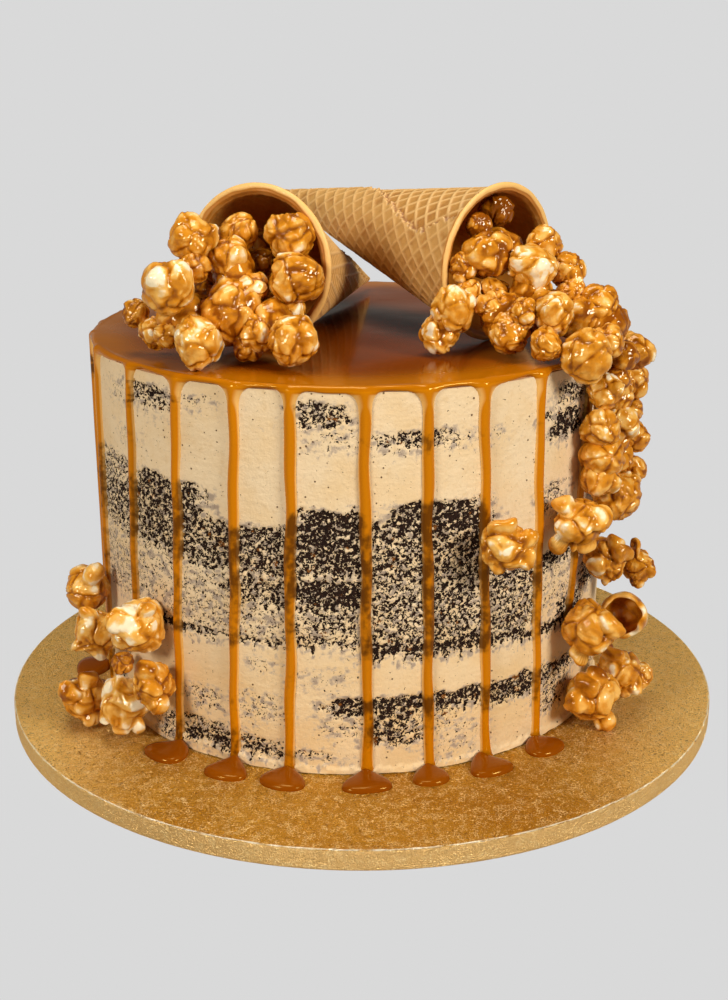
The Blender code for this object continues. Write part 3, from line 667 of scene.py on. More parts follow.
def all_drips():
    """Rows of rim bearing, foot bearing, foot level, pool bearing and pool size, in order.

    The back drips stand at the solid's bearings. The solid draws a pool size by chance for
    each front drip first, so as many draws are passed over here.
    """
    rng = np.random.default_rng(DRIP_SEED)
    rng.uniform(size=len(FRONT_DRIPS))
    drips = [*FRONT_DRIPS, *HIDDEN_DRIPS]
    for count in range(BACK_DRIPS):
        bearing = BACK_DRIPS_FROM + DRIP_STEP * count + rng.uniform(-BACK_DRIP_SWAY, BACK_DRIP_SWAY)
        foot = bearing + rng.uniform(-BACK_DRIP_LEAN, BACK_DRIP_LEAN)
        drips.append((bearing, foot, BOARD_TOP, foot, rng.uniform(0.8, 1.1)))
    return np.array(drips)


def round_wave(bearings, slowest, fastest, seed):
    """A wave of unit size that closes round the cake: a sum of whole turns at random phases."""
    rng = np.random.default_rng(seed)
    total = np.zeros(np.shape(bearings))
    for turns in range(slowest, fastest + 1):
        total = total + np.cos(np.radians(bearings) * turns + rng.uniform(0, math.tau))
    return total * math.sqrt(2 / (fastest - slowest + 1))


def smooth_max(first, second, blend):
    """The larger of two, with the corner between them filled over the blend width."""
    share = np.clip(0.5 + 0.5 * (first - second) / blend, 0.0, 1.0)
    return second + (first - second) * share + blend * share * (1 - share)


def caramel_shape(drips, levels):
    """Bearing, thickness and depth of the caramel at every column and level of the side.

    Each strand has its own set of columns, close together across the strand and wider
    apart out to the midline with its neighbour. A place's depth inside the caramel's
    outline is the smooth maximum of its depth inside the strand and inside the lip, and
    the thickness over that depth is a quarter round. The last result is that depth, in
    half widths of the strand.
    """
    rim, foot, end = drips.T[:3]
    level = levels[:, None]
    fall = np.clip((ICING_TOP - level) / (ICING_TOP - end), 0.0, 1.0)
    each = np.arange(len(drips))
    sway = 0.14 * np.sin(level / 9.0 + each * 2.1) + 0.10 * np.sin(level / 4.3 + each * 5.3)
    centre = rim + (foot - rim) * fall + sway
    half = DRIP_HALF_WIDTH * (1 + 0.07 * np.sin(level / 7.0 + each * 3.7) - 0.10 * fall)
    per_degree = math.tau * CAKE_RADIUS / 360
    half_turn = half / per_degree
    after = np.concatenate((centre[:, 1:], centre[:, :1] + 360), 1)
    middle = (centre + after) / 2
    before = np.concatenate((middle[:, -1:] - 360, middle[:, :-1]), 1)

    out_to = 1.5
    rounded = np.sin(np.linspace(-1, 1, 11) * math.pi / 2)
    across = np.concatenate(([-out_to, -1.2], rounded, [1.2, out_to]))
    near = 1 - np.linspace(1, 0, 8, endpoint=False) ** 1.5
    strand = centre[..., None] + across * half_turn[..., None]
    left = before[..., None] + (strand[..., :1] - before[..., None]) * near
    right = middle[..., None] + (strand[..., -1:] - middle[..., None]) * near[:0:-1]
    bearings = np.concatenate((left, strand, right), -1)

    aside = (bearings - centre[..., None]) * per_degree
    flare = FOOT_FLARE * np.exp(-(level - LAYER_FLOOR) / FLARE_HEIGHT)
    wide = (half + flare * (end <= BOARD_TOP))[..., None]
    hang = np.maximum((end + half - level), 0.0) * (end > BOARD_TOP)
    in_strand = wide - np.hypot(aside, hang[..., None])
    lip = LIP_DEPTH + LIP_UNEVEN * round_wave(bearings, 5, 23, 31)
    in_lip = level[..., None] - (ICING_TOP - lip)
    both = smooth_max(in_strand * ARCH_SLENDER, in_lip, ARCH_HEIGHT)
    inside = both / np.where(in_strand * ARCH_SLENDER > in_lip, ARCH_SLENDER, 1.0)
    crown = LIP_PROUD + (DRIP_PROUD - LIP_PROUD) * np.exp(-(aside / half[..., None]) ** 2)
    rise = np.clip(inside / half[..., None], 0.0, 1.0)
    thickness = np.where(inside > 0, crown * np.sqrt(1 - (1 - rise) ** 2),
                         -SUNK * np.clip(-inside / 0.6, 0.0, 1.0))
    shape = (len(levels), -1)
    return bearings.reshape(shape), thickness.reshape(shape), rise.reshape(shape)


def ring_points(radii, bearings, levels):
    """Points round the cake's axis."""
    turn = np.radians(bearings)
    x, y = CAKE_X + radii * np.sin(turn), CAKE_Y - radii * np.cos(turn)
    return np.stack(np.broadcast_arrays(x, y, levels), -1)


def crumb_under(bearings, levels):
    """How bare the coat under the caramel is, a little blurred."""
    soft = sum(np.roll(bare, step, 1) for step in range(-1, 2)) / 3
    rows = np.clip(np.searchsorted(Coat.levels, levels), 0, len(Coat.levels) - 1)
    columns = np.round(bearings * COAT_COLUMNS / 360).astype(int) % COAT_COLUMNS
    return soft[rows, columns]


def poured_caramel():
    """Glossy caramel: golden where thin, brown where deep, darker where crumb lies under it."""
    caramel = Finish("poured_caramel")
    depth = caramel.sum("MULTIPLY_ADD", caramel.noise(34.0, 3.0), 0.16, caramel.painted("depth"))
    colour = caramel.mix(caramel.ramp(depth, 0.05, 0.85), CARAMEL_THIN, CARAMEL_STRAND)
    colour = caramel.mix(caramel.ramp(depth, 1.45, 2.1), colour, CARAMEL_DEEP)
    crumbs = caramel.sum("MULTIPLY_ADD", caramel.noise(520.0), 0.9, caramel.painted("under"))
    colour = caramel.mix(caramel.ramp(crumbs, 0.55, 1.30, 0.0, 0.9), colour, CARAMEL_OVER_CRUMB)
    caramel.feed(Base_Color=colour, Roughness=caramel.ramp(depth, 1.4, 1.8, 0.07, 0.13), IOR=1.44,
                 Specular_Tint=CARAMEL_SHEEN)
    caramel.bump(caramel.noise(90.0), 0.08, 0.0006)
    return caramel.material


def coarser_ring(outer, inner, ratio):
    """Triangles between a fine ring and one with a ratio fewer points."""
    outer = outer.reshape(-1, ratio)
    after = np.roll(outer.ravel(), -1).reshape(-1, ratio)
    half_way = (ratio + 1) // 2
    own, following = inner[:, None], np.roll(inner, -1)[:, None]
    nearest = np.where(np.arange(ratio) < half_way, own, following)
    fans = np.stack((outer, after, nearest), -1).reshape(-1, 3)
    joint = outer[:, half_way]
    return np.vstack((fans, np.stack((joint, np.roll(inner, -1), inner), -1)))


def cap_rings(bearings):
    """The cap's coarse rings from wide to narrow, its fine rings from there out, and their depth.

    It is level, but for a faint ripple, and the caramel thins a little towards the rim.
    """
    outer_radii = np.linspace(CAKE_RADIUS - 1.2, CAP_FINE_TO, 19)[::-1]
    inner_radii = np.linspace(CAP_FINE_TO - 1.5, 4.0, 40)
    outer = ring_points(outer_radii[:, None], bearings, ICING_TOP)
    inner = ring_points(inner_radii[:, None], bearings[::CAP_RING_RATIO], ICING_TOP)
    for ring in (outer, inner):
        x, y = ring[..., 0], ring[..., 1]
        ripple = np.sin(x / 13.0 + np.sin(y / 17.0)) * np.cos(y / 11.0 + np.sin(x / 19.0))
        ring[..., 2] -= CAP_RIPPLE * (1 + ripple)
    deep = RIM_DEPTH + (CAP_DEPTH - RIM_DEPTH) * eased(CAKE_RADIUS - outer_radii, 2.0, 26.0)
    return inner, outer, deep


def make_icing(drips):
    """The skin: flat cap, rounded rim, the side's columns, then back up inside and across."""
    corner = np.linspace(0, math.pi / 2, 8)[1:]
    fine = np.linspace(ICING_TOP - CAP_ROUND, ARCHES_END, 32)[1:]
    long = np.linspace(ARCHES_END, LAYER_FLOOR, 38)[1:]
    levels = np.concatenate((ICING_TOP - CAP_ROUND * (1 - np.cos(corner)), fine, long))
    inset = np.concatenate((CAP_ROUND * (1 - np.sin(corner)), np.zeros(len(fine) + len(long))))
    bearings, thickness, rise = caramel_shape(drips, levels)
    columns = bearings.shape[1]
    side = ring_points(CAKE_RADIUS + thickness - inset[:, None], bearings, levels[:, None])
    under = crumb_under(bearings, levels[:, None]) * (levels < ICING_TOP - CAP_ROUND)[:, None]
    near_top = eased(levels, 136.0, 143.0)[:, None]
    depth = np.minimum(rise * (3.2 - 2.3 * near_top), 1.3)
    depth = np.maximum(depth, RIM_DEPTH * eased(levels, 145.6, 148.0)[:, None])

    inner, outer, deep = cap_rings(bearings[0])
    closing = ((CAKE_RADIUS - SUNK - 0.8, LAYER_FLOOR), (CAKE_RADIUS - SUNK - 0.8, ICING_UNDER))
    back = np.stack([ring_points(radius, bearings[-1], level) for radius, level in closing])

    blocks = [grid.reshape(-1, 3) for grid in (inner, outer, side, back)]
    hubs = np.array(((CAKE_X, CAKE_Y, ICING_TOP - 0.1), (CAKE_X, CAKE_Y, ICING_UNDER)))
    points = np.vstack(blocks + [hubs])
    inner_count = blocks[0].shape[0]
    few = columns // CAP_RING_RATIO
    rows = (len(points) - 2 - inner_count) // columns
    quads = np.vstack((ring_faces(len(inner), few),
                       inner_count + ring_faces(rows, columns)[:, ::-1]))
    first_outer = inner_count + np.arange(columns)
    last = np.arange(len(points) - 2 - columns, len(points) - 2)
    triangles = np.vstack((
        coarser_ring(first_outer, np.arange(few), CAP_RING_RATIO),
        fan_faces(np.arange(inner_count - few, inner_count), len(points) - 2, True),
        fan_faces(last, len(points) - 1, False),
    ))
    icing = add_surface("caramel_pour", points, quads, triangles)
    depth = np.concatenate((np.full(inner_count, CAP_DEPTH), np.repeat(deep, columns), depth.ravel(),
                            np.zeros(2 * columns), (CAP_DEPTH, 0.0)))
    under = np.concatenate((np.zeros(inner_count + len(outer) * columns), under.ravel(),
                            np.zeros(2 * columns + 2)))
    paint(icing, "depth", depth)
    paint(icing, "under", under)
    return icing


def make_pools(drips):
    """A low dome on the board at each strand's foot, drawn up a little where the strand ends."""
    drips = drips[drips[:, 2] <= BOARD_TOP]
    count = len(drips)
    foot, size = np.radians(drips[:, 3])[:, None, None], drips[:, 4][:, None, None]
    columns = 36
    around = (np.arange(columns) * math.tau / columns)[None, None, :]
    bend = np.linspace(math.pi / 2, 0.08, 10)[None, :, None]
    each = np.arange(count)[:, None, None]
    uneven = 1 + 0.05 * np.cos(2 * around + each * 1.7) + 0.035 * np.cos(3 * around + each * 2.9)
    along = POOL_LENGTH / 2 * size * np.sin(bend) * uneven * np.cos(around)
    along = along * (1 + POOL_TAPER * np.sin(around) * np.sin(bend))
    out = POOL_WIDTH / 2 * size * (1 + np.sin(bend) * uneven * np.sin(around)) + 0.6
    height = POOL_HEIGHT * np.sqrt(size) * np.cos(bend) ** 0.6
    height = height + POOL_DRAWN_UP * np.exp(-np.hypot(along * 0.8, out - 0.8) / 1.7) * np.cos(bend)
    height = np.concatenate((np.full((count, 1, columns), -0.1), height), 1)
    along, out = (np.concatenate((grid[:, :1], grid), 1) for grid in (along, out))
    radius = CAKE_RADIUS + out
    points = np.stack((CAKE_X + radius * np.sin(foot) + along * np.cos(foot),
                       CAKE_Y - radius * np.cos(foot) + along * np.sin(foot), BOARD_TOP + height), -1)
    rows = points.shape[1]
    tops = points[:, -1].mean(1) + (0, 0, 0.02)
    floors = points[:, 0].mean(1)
    per_pool = rows * columns
    grid = ring_faces(rows, columns)[:, ::-1]
    quads = (np.arange(count)[:, None, None] * per_pool + grid).reshape(-1, 4)
    hub = count * per_pool
    triangles = []
    for number in range(count):
        first = number * per_pool + np.arange(columns)
        triangles.append(fan_faces(first + per_pool - columns, hub + number, False))
        triangles.append(fan_faces(first, hub + count + number, True))
    pools = add_surface("caramel_pools", np.vstack((points.reshape(-1, 3), tops, floors)), quads,
                        np.vstack(triangles))
    paint(pools, "depth", np.full(hub + 2 * count, POOL_DEPTH))
    return pools


drip_rows = all_drips()
caramel_finish = poured_caramel()
for poured in (make_icing(drip_rows), make_pools(drip_rows)):
    poured.data.materials.append(caramel_finish)
    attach(poured, "root")
    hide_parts("caramel_icing")


# ---- Waffle cones ---------------------------------------------------------------------------
# Two rolled waffle cones lying on the caramel with their mouths to the front. Each is a flat
# baked sheet with a net of raised ridges, rolled so that its scalloped edge laps over it.
CONE_LENGTH = 134.6
CONE_RADIUS = 28.9
CONE_SLOPE = CONE_RADIUS / CONE_LENGTH
CONE_WALL = 2.3
CONE_HOLLOW_DEPTH = 100.0
CONE_BLUNT = 4.0
CONES = (               # name, mouth centre, bearing of the tip, rise, oblique cut and its turn
    ("cone_left", (-37.8, -34.6, 178.1), 18.5, -10.8, 4.8, 57.0),
    ("cone_right", (50.3, -19.8, 178.1), -43.3, 6.6, 1.9, -75.0),
)
CONE_COLUMNS = 300
SHEET_THICKNESS = 1.25
RIDGE_PITCH = 5.3       # between the ridges of one family, across them
RIDGE_HALF_WIDTH = 0.72
RIDGE_HEIGHT = 0.50
RIDGE_SLOPE = 45.0      # degrees between a ridge and the sheet's own axis
INNER_LAYER_TURN = 5.0  # the layer below lies a little askew
RIM_BAND = 3.3          # how broad the rim looks from the front
RIM_GROOVE_IN = 2.55    # from the cone's outside to the groove between its sheets
RIM_GROOVE_WIDTH = 0.62
RIM_GROOVE_DEPTH = 0.3
UNDER_FLAP_FROM = 275.0     # degrees: from this turn on, the sheet lies under the flap
FLAP_FROM = 60.0            # degrees: past this turn the flap's edge is lifted and browned
SHEET_SWING = math.radians(36)  # of the sheet's own axis, laid flat, from turn 0
FLAP_EDGE = (           # depth from the mouth, and the turn at which the lapping edge lies
    (0, 135), (3, 139), (5, 143), (13, 149), (17, 158), (22, 159.5), (26, 158), (36.5, 147.6),
    (47, 135), (63, 106.5), (80, 76), (100, 40), (140, 0),
)
FLAP_MEAN_RADIUS = 18.0     # of the cone, for the length of that edge
FAR_FROM_FLAP = -50.0
SCALLOP_PITCH = 3.3
SCALLOP_DEPTH = 1.9
WAFER_RIDGE = (0.73, 0.43, 0.150, 1.0)
WAFER_CELL = (0.50, 0.235, 0.046, 1.0)
WAFER_LAP = (0.55, 0.285, 0.072, 1.0)
WAFER_TOAST = (0.34, 0.12, 0.014, 1.0)
WAFER_SHADED = (0.27, 0.085, 0.009, 1.0)
WAFER_RIM = (0.82, 0.46, 0.125, 1.0)
WAFER_GROOVE = (0.50, 0.165, 0.012, 1.0)
WAFER_INSIDE = (0.55, 0.18, 0.009, 1.0)


def baked_wafer():
    """Baked wafer: pale ridges, golden cells with pin holes, browner inside the cone."""
    wafer = Finish("baked_wafer")
    rim = wafer.painted("rim")
    cell = wafer.mix(wafer.painted("lap"), WAFER_CELL, WAFER_LAP)
    toasted = wafer.ramp(wafer.noise(150.0, 5.0, 0.6), 0.45, 0.75, 0.0, 0.75)
    cell = wafer.mix(toasted, cell, WAFER_TOAST)
    # The ridge share also holds the painted highlight on the flap's lifted edge.
    colour = wafer.mix(wafer.ramp(wafer.painted("ridge"), 0.15, 0.9), cell, WAFER_RIDGE)
    colour = wafer.mix(wafer.ramp(wafer.painted("shade"), 0.0, 0.9, 0.0, 0.9), colour, WAFER_SHADED)
    # Inside the cone: its own browner tone, deepening from the rim inward as painted shade down the
    # hollow.
    colour = wafer.mix(wafer.painted("inside"), colour, WAFER_INSIDE)
    colour = wafer.mix(wafer.ramp(rim, 0.1, 0.6), colour, WAFER_GROOVE)
    colour = wafer.mix(wafer.ramp(rim, 0.55, 0.85), colour, WAFER_RIM)
    holes = wafer.cells(240.0)
    chance = wafer.node("SeparateColor", Color=holes.outputs["Color"]).outputs[0]
    pin = wafer.sum("MULTIPLY", wafer.ramp(holes.outputs["Distance"], 0.06, 0.10, 1.0, 0.0),
                    wafer.ramp(chance, 0.72, 0.75))
    grain = wafer.noise(900.0, 3.0)
    wafer.feed(Base_Color=wafer.mix(pin, colour, WAFER_TOAST),
               Roughness=wafer.ramp(grain, 0.3, 0.7, 0.42, 0.62))
    wafer.bump(wafer.sum("MULTIPLY_ADD", pin, -1.2, grain), 0.35, 0.0003)
    return wafer.material


def net_ridges(depth, turn, lap):
    """How much of a ridge lies at each place: two straight families on the unrolled sheet."""
    half_angle = math.atan(CONE_SLOPE)
    slant = (CONE_LENGTH - depth) / math.cos(half_angle)
    swing = turn * math.sin(half_angle) - SHEET_SWING
    along, across = slant * np.cos(swing), slant * np.sin(swing)
    ridge = np.zeros(np.broadcast(depth, turn).shape)
    for side in (-1, 1):
        slope = np.radians(side * RIDGE_SLOPE + INNER_LAYER_TURN * (1 - lap))
        off = across * np.cos(slope) - along * np.sin(slope)
        off = (off + RIDGE_PITCH / 2) % RIDGE_PITCH - RIDGE_PITCH / 2
        ridge = np.maximum(ridge, np.exp(-(off / RIDGE_HALF_WIDTH) ** 2))
    return ridge


def past_flap_edge(depth, degrees):
    """How far past the flap's edge each place lies, in millimetres round the cone.

    The edge's turn is a curve over depth. The way walked along that curve says where each
    tooth stands, and its teeth are arches of uneven depth.
    """
    edge_depths, edge_turns = np.array(FLAP_EDGE, float).T
    sideways = np.radians(np.gradient(edge_turns)) * FLAP_MEAN_RADIUS
    walk = np.cumsum(np.hypot(np.gradient(edge_depths), sideways))
    position = np.interp(depth, edge_depths, walk) / SCALLOP_PITCH
    uneven = 1 + 0.30 * np.sin(position * 1.9) + 0.25 * np.sin(position * 4.3 + 1.0)
    teeth = np.abs(np.sin(position * math.pi + 0.5 * np.sin(position * 2.3)))
    scallop = SCALLOP_DEPTH * uneven * teeth
    off_edge = degrees - np.interp(depth, edge_depths, edge_turns)
    past_edge = off_edge * np.radians((CONE_LENGTH - depth) * CONE_SLOPE)
    return np.where(degrees > UNDER_FLAP_FROM, FAR_FROM_FLAP, past_edge + scallop - 0.6)


def cone_outside(depth, turn, cut_shift):
    """Radius of the outer skin, and what is painted on it.

    The skin lies at the straight cone's radius, less a ridge's height between the ridges, and
    less the sheet's thickness where it runs under the flap. The flap's edge lifts a little.
    """
    degrees = np.degrees(turn)
    past_edge = past_flap_edge(depth, degrees)
    from_edge = np.clip(past_edge, 0, None)
    lap = eased(past_edge, -0.25, 0.25)
    rolled = np.where(degrees > UNDER_FLAP_FROM, degrees - 360, degrees)
    lifted = rolled > FLAP_FROM
    under = (1 - lap) * eased(rolled, -85.0, 60.0)
    ridge = net_ridges(depth - cut_shift, turn, lap)
    lift_edge = 0.5 * np.exp(-from_edge / 2.0) * lap * lifted
    sink = 0.2 + SHEET_THICKNESS * under - 0.3 * lift_edge + RIDGE_HEIGHT * (1 - ridge)
    taper = eased(CONE_LENGTH - CONE_BLUNT - depth, 0.0, 12.0)
    # Painted highlight along the flap's lifted edge, handed on under the ridge key with the real
    # ridges.
    flap_edge_highlight = lap * np.exp(-from_edge / 0.8) * lifted
    none = np.zeros(ridge.shape)
    return (CONE_LENGTH - depth) * CONE_SLOPE - sink * (0.25 + 0.75 * taper), {
        "ridge": np.maximum(ridge * (1 - 0.3 * lap), flap_edge_highlight),
        "shade": (1 - lap) * np.exp(-np.clip(-past_edge, 0, None) / 1.6) * lifted,
        "lap": lap,
        "inside": none,
        "rim": 0.9 * eased(-depth, -3.2, -1.2) + none,
    }


def cone_rim(turn):
    """Depth and radius over the rim, and what is painted on it.

    The rim is a half round from the outer skin to the inner one, with a wandering groove
    between the two sheets that meet there.
    """
    degrees = np.degrees(turn)
    over = np.linspace(0, math.pi, 19)[1:-1][:, None]
    middle = CONE_RADIUS - 0.05 - RIM_BAND / 2
    radius = middle + (RIM_BAND / 2 - 0.05) * np.cos(over)
    groove_at = CONE_RADIUS - RIM_GROOVE_IN + 0.12 * round_wave(degrees, 3, 16, 43)
    groove_wide = RIM_GROOVE_WIDTH + 0.12 * round_wave(degrees, 3, 19, 44)
    groove = np.exp(-((radius - groove_at) / groove_wide) ** 2)
    inner_half = eased(groove_at - radius, 0.0, 0.7)
    depth = 1.6 - 1.5 * np.sin(over) ** 0.6 + RIM_GROOVE_DEPTH * groove
    wobble = 0.12 * round_wave(degrees, 3, 26, 41) * np.sin(over)
    none = np.zeros(groove.shape)
    return depth, radius + wobble, {
        "ridge": none,
        "shade": none,
        "lap": none + 1,
        "inside": none,
        "rim": none + 0.95 - 0.5 * groove - 0.27 * inner_half,
    }


def cone_inside(depth, turn):
    """Radius of the inner skin, which thickens to the rim, and what is painted on it."""
    ridge = net_ridges(depth, turn, np.ones((1, 1)))
    slope = (CONE_RADIUS - CONE_WALL) / (CONE_LENGTH - CONE_WALL * 3)
    thick_lip = (RIM_BAND + 0.3 - CONE_WALL) * (1 - eased(depth, 1.9, 9.0))
    none = np.zeros(ridge.shape)
    return CONE_RADIUS - CONE_WALL - depth * slope - 0.22 * ridge - thick_lip, {
        "ridge": 0.5 * ridge,
        "shade": none,
        "lap": none,
        # Browner from the rim inward: the inner face's own tone, deepened with depth as painted shade.
        "inside": 0.5 + 0.5 * eased(depth, 2.0, 22.0) + none,
        "rim": 0.68 * (1.0 - eased(depth, 1.9, 4.2) + none),
    }


def cut_at(depth, turn, cut, cut_turn):
    """How far the oblique cut shifts each place: most at the mouth, none past half the length."""
    at_mouth = cut * np.cos(turn - math.radians(cut_turn))
    return at_mouth * np.clip(1 - depth / (CONE_LENGTH / 2), 0, 1)


def make_cone(name, mouth, bearing, rise, cut, cut_turn, finish):
    """Outer skin from tip to rim, over the rim, and down the inside to the hollow's end.

    Depth runs from the mouth along the axis, and turn goes round it from the side.
    """
    turn_out, lift = math.radians(bearing), math.radians(rise)
    axis = np.array((math.cos(lift) * math.sin(turn_out), math.cos(lift) * math.cos(turn_out),
                     math.sin(lift)))
    across = np.cross(axis, (0.0, 0.0, 1.0))
    across = across / np.linalg.norm(across)
    upward = np.cross(across, axis)
    turn = (np.arange(CONE_COLUMNS) * math.tau / CONE_COLUMNS)[None, :]
    spoke = across * np.cos(turn)[..., None] + upward * np.sin(turn)[..., None]

    outer_depth = np.concatenate((np.linspace(CONE_LENGTH - CONE_BLUNT, 62.0, 110)[:-1],
                                  np.linspace(62.0, 1.0, 112)))[:, None]
    inner_depth = np.concatenate((np.linspace(1.9, 60, 34),
                                  np.linspace(64, CONE_HOLLOW_DEPTH, 12)))[:, None]
    shift = cut_at(outer_depth, turn, cut, cut_turn)
    outer_radius, on_outside = cone_outside(outer_depth, turn, shift)
    rim_depth, rim_radius, on_rim = cone_rim(turn)
    inner_radius, on_inside = cone_inside(inner_depth, turn)
    depth = np.vstack([np.broadcast_to(rows, (len(rows), CONE_COLUMNS))
                       for rows in (outer_depth, rim_depth, inner_depth)])
    reach = cut_at(depth, turn, cut, cut_turn)
    wide = np.vstack((outer_radius, rim_radius, inner_radius)) + CONE_SLOPE * reach
    skin = np.array(mouth) + axis * (depth - reach)[..., None] + spoke * wide[..., None]
    tip = np.array(mouth) + axis * (CONE_LENGTH - CONE_BLUNT / 2)
    pocket = np.array(mouth) + axis * (CONE_HOLLOW_DEPTH + CONE_BLUNT * 0.4)
    cone = add_surface(name + "_rolled", *closed_rings(skin, (tip, pocket), False))
    for label in on_rim:
        shares = np.vstack((on_outside[label], on_rim[label], on_inside[label]))
        paint(cone, label, np.clip(shares, 0, 1), (0, 0))
    cone.data.materials.append(finish)
    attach(cone, "root")
    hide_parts(name)


wafer_finish = baked_wafer()
for cone_place in CONES:
    make_cone(*cone_place, wafer_finish)


# ---- Caramel popcorn ------------------------------------------------------------------------
# Popped kernels tossed in caramel, which sticks them to one another, to the cake and to the
# board. Each is a ball of round lobes with small knobs and folds between them; the coat lies
# thick in the folds and thin over some crowns, which stay cream.
KERNEL_LOBES = 8
LOBE_NUDGE = 0.22
LOBE_SEAT = (0.40, 0.56)
LOBE_SIZE = (0.42, 0.57)
KERNEL_BODY = 0.82
KNOB_SEAT = 0.82
LEFT_SEED = 100
LEFT_CORE_SEED = 190
RIGHT_SEED = 200
RIGHT_CORE_SEED = 290
RUN_SEED = 218
LOOSE_SEED = 300
LOBE_SHARPNESS = 20.0   # how sharply the lobes meet
WIDE_CELLS = 10         # creases follow the borders of these
SMALL_CELLS = 70
WIDE_CREASE_DEPTH = 0.07        # in kernel radii
SMALL_CREASE_DEPTH = 0.03
SWELL = 1.01            # caramel makes a kernel a little larger than its bare size
HEAP_GRID = 27          # squares along each side of the six sheets that wrap a kernel
LOOSE_GRID = 38
CORE_GRID = 12
CORE_SHRINK = 0.93      # the kernels deep inside a heap, which show only through its gaps
CORE_SHADE = 0.30        # and how much darker they are painted: painted shade in the heap's gaps
SQUASH = (0.93, 1.07)   # how much shorter or longer a kernel may be along each of its axes
SQUASH_SEED = 5000
TOUCH = 0.3             # between a stuck kernel and the side of the cake
# On the cake: x, y, height of the middle above the icing, diameter, and how much thicker
# than usual its caramel lies, which on the kernels in the cones' mouths is painted shade
LEFT_HEAP = (
    (-58, -50, 41.5, 17.5, -0.1), (-57, -55, 33, 12.5, 0.1), (-43, -37, 41.5, 17, 0),
    (-46.5, -47, 34, 18, 0.15), (-24.5, -42, 41, 20, 0.05), (-22, -52, 28.5, 21, 0.1),
    (-65, -63, 26.8, 21.5, -0.05), (-79.5, -44, 14.5, 12.5, 0.1), (-72, -47, 8.5, 14, 0),
    (-55.3, -67.5, 9.9, 19.5, -0.3), (-44.5, -57, 17.3, 19, 0.2), (-55, -45, 20, 15, 0.25),
    (-37.8, -52, 24.7, 13, 0.1), (-27, -49, 16.5, 18, -0.2), (-35.2, -62, 12, 15, 0),
    (-23.5, -68, 10.3, 20.5, -0.1), (-39, -60, 6.5, 12, 0.1), (-36, -34, 30, 12, 0.5),
    (-36, -24, 36.5, 12, 0.5), (-66.5, -60, 10, 11, 0),
)
LEFT_HEAP_CORE = (
    (-45, -54, 16, 28), (-62, -52, 14, 24), (-31, -56, 13, 22), (-44, -46, 28, 21),
    (-37, -29, 26, 23),
)
RIGHT_HEAP = (
    (45, -34, 33.5, 20.5, 0.4), (49.3, -13, 46.5, 13.5, 0.8), (42, -28, 43, 12, 0.75),
    (36, -36, 29.5, 12.5, 0.3), (65.3, -26, 36, 15, 0), (60.2, -39, 30, 19, -0.15),
    (73.3, -31, 27.5, 15, 0.05), (37, -41, 21, 11, 0.1), (47, -38, 21, 12, 0.1),
    (31.7, -47.5, 16.3, 18, -0.15), (27.5, -45.5, 8.2, 16.5, -0.1), (46.2, -45, 16.6, 14, 0.1),
    (51, -51, 9, 17, 0.05), (56, -52, 16, 12.5, 0.2), (66.2, -53, 16.6, 17, -0.15),
    (63.2, -61, 7, 13.5, 0), (74, -36, 20, 13, -0.1), (84.3, -38, 16.5, 17, 0.15),
)
RIGHT_HEAP_CORE = (
    (50, -44, 13, 20), (66, -44, 14, 24), (60, -38, 22, 18), (78, -40, 12, 20), (50, -22, 33, 21),
)
# Stuck to the side: bearing, height of the middle above the table, diameter, lift off the side
CASCADE = (
    (48, 153.3, 20, -1.8), (55.5, 155, 14.5, 1), (70, 146.5, 16.5, 1), (70.5, 135.5, 15, 2.3),
    (57, 137, 13.5, 0.5), (70.5, 124.5, 13.5, 2.6), (55.3, 124.5, 16.5, 0), (71, 115, 14, 4),
    (56, 114, 17, 0), (55.5, 106, 16, 0), (70, 102.5, 12.5, 6), (63, 95.5, 20.5, 0.4),
    (66, 137, 14, 0), (65, 122, 16, 0), (66, 108, 15, 0),
)
CASCADE_CORE = (
    (62, 158.5, 18, -5), (63, 148, 15, 2), (62, 140, 13, 1), (65, 130, 14, 0), (65, 115, 14, 0),
    (63, 103, 12, 0),
)
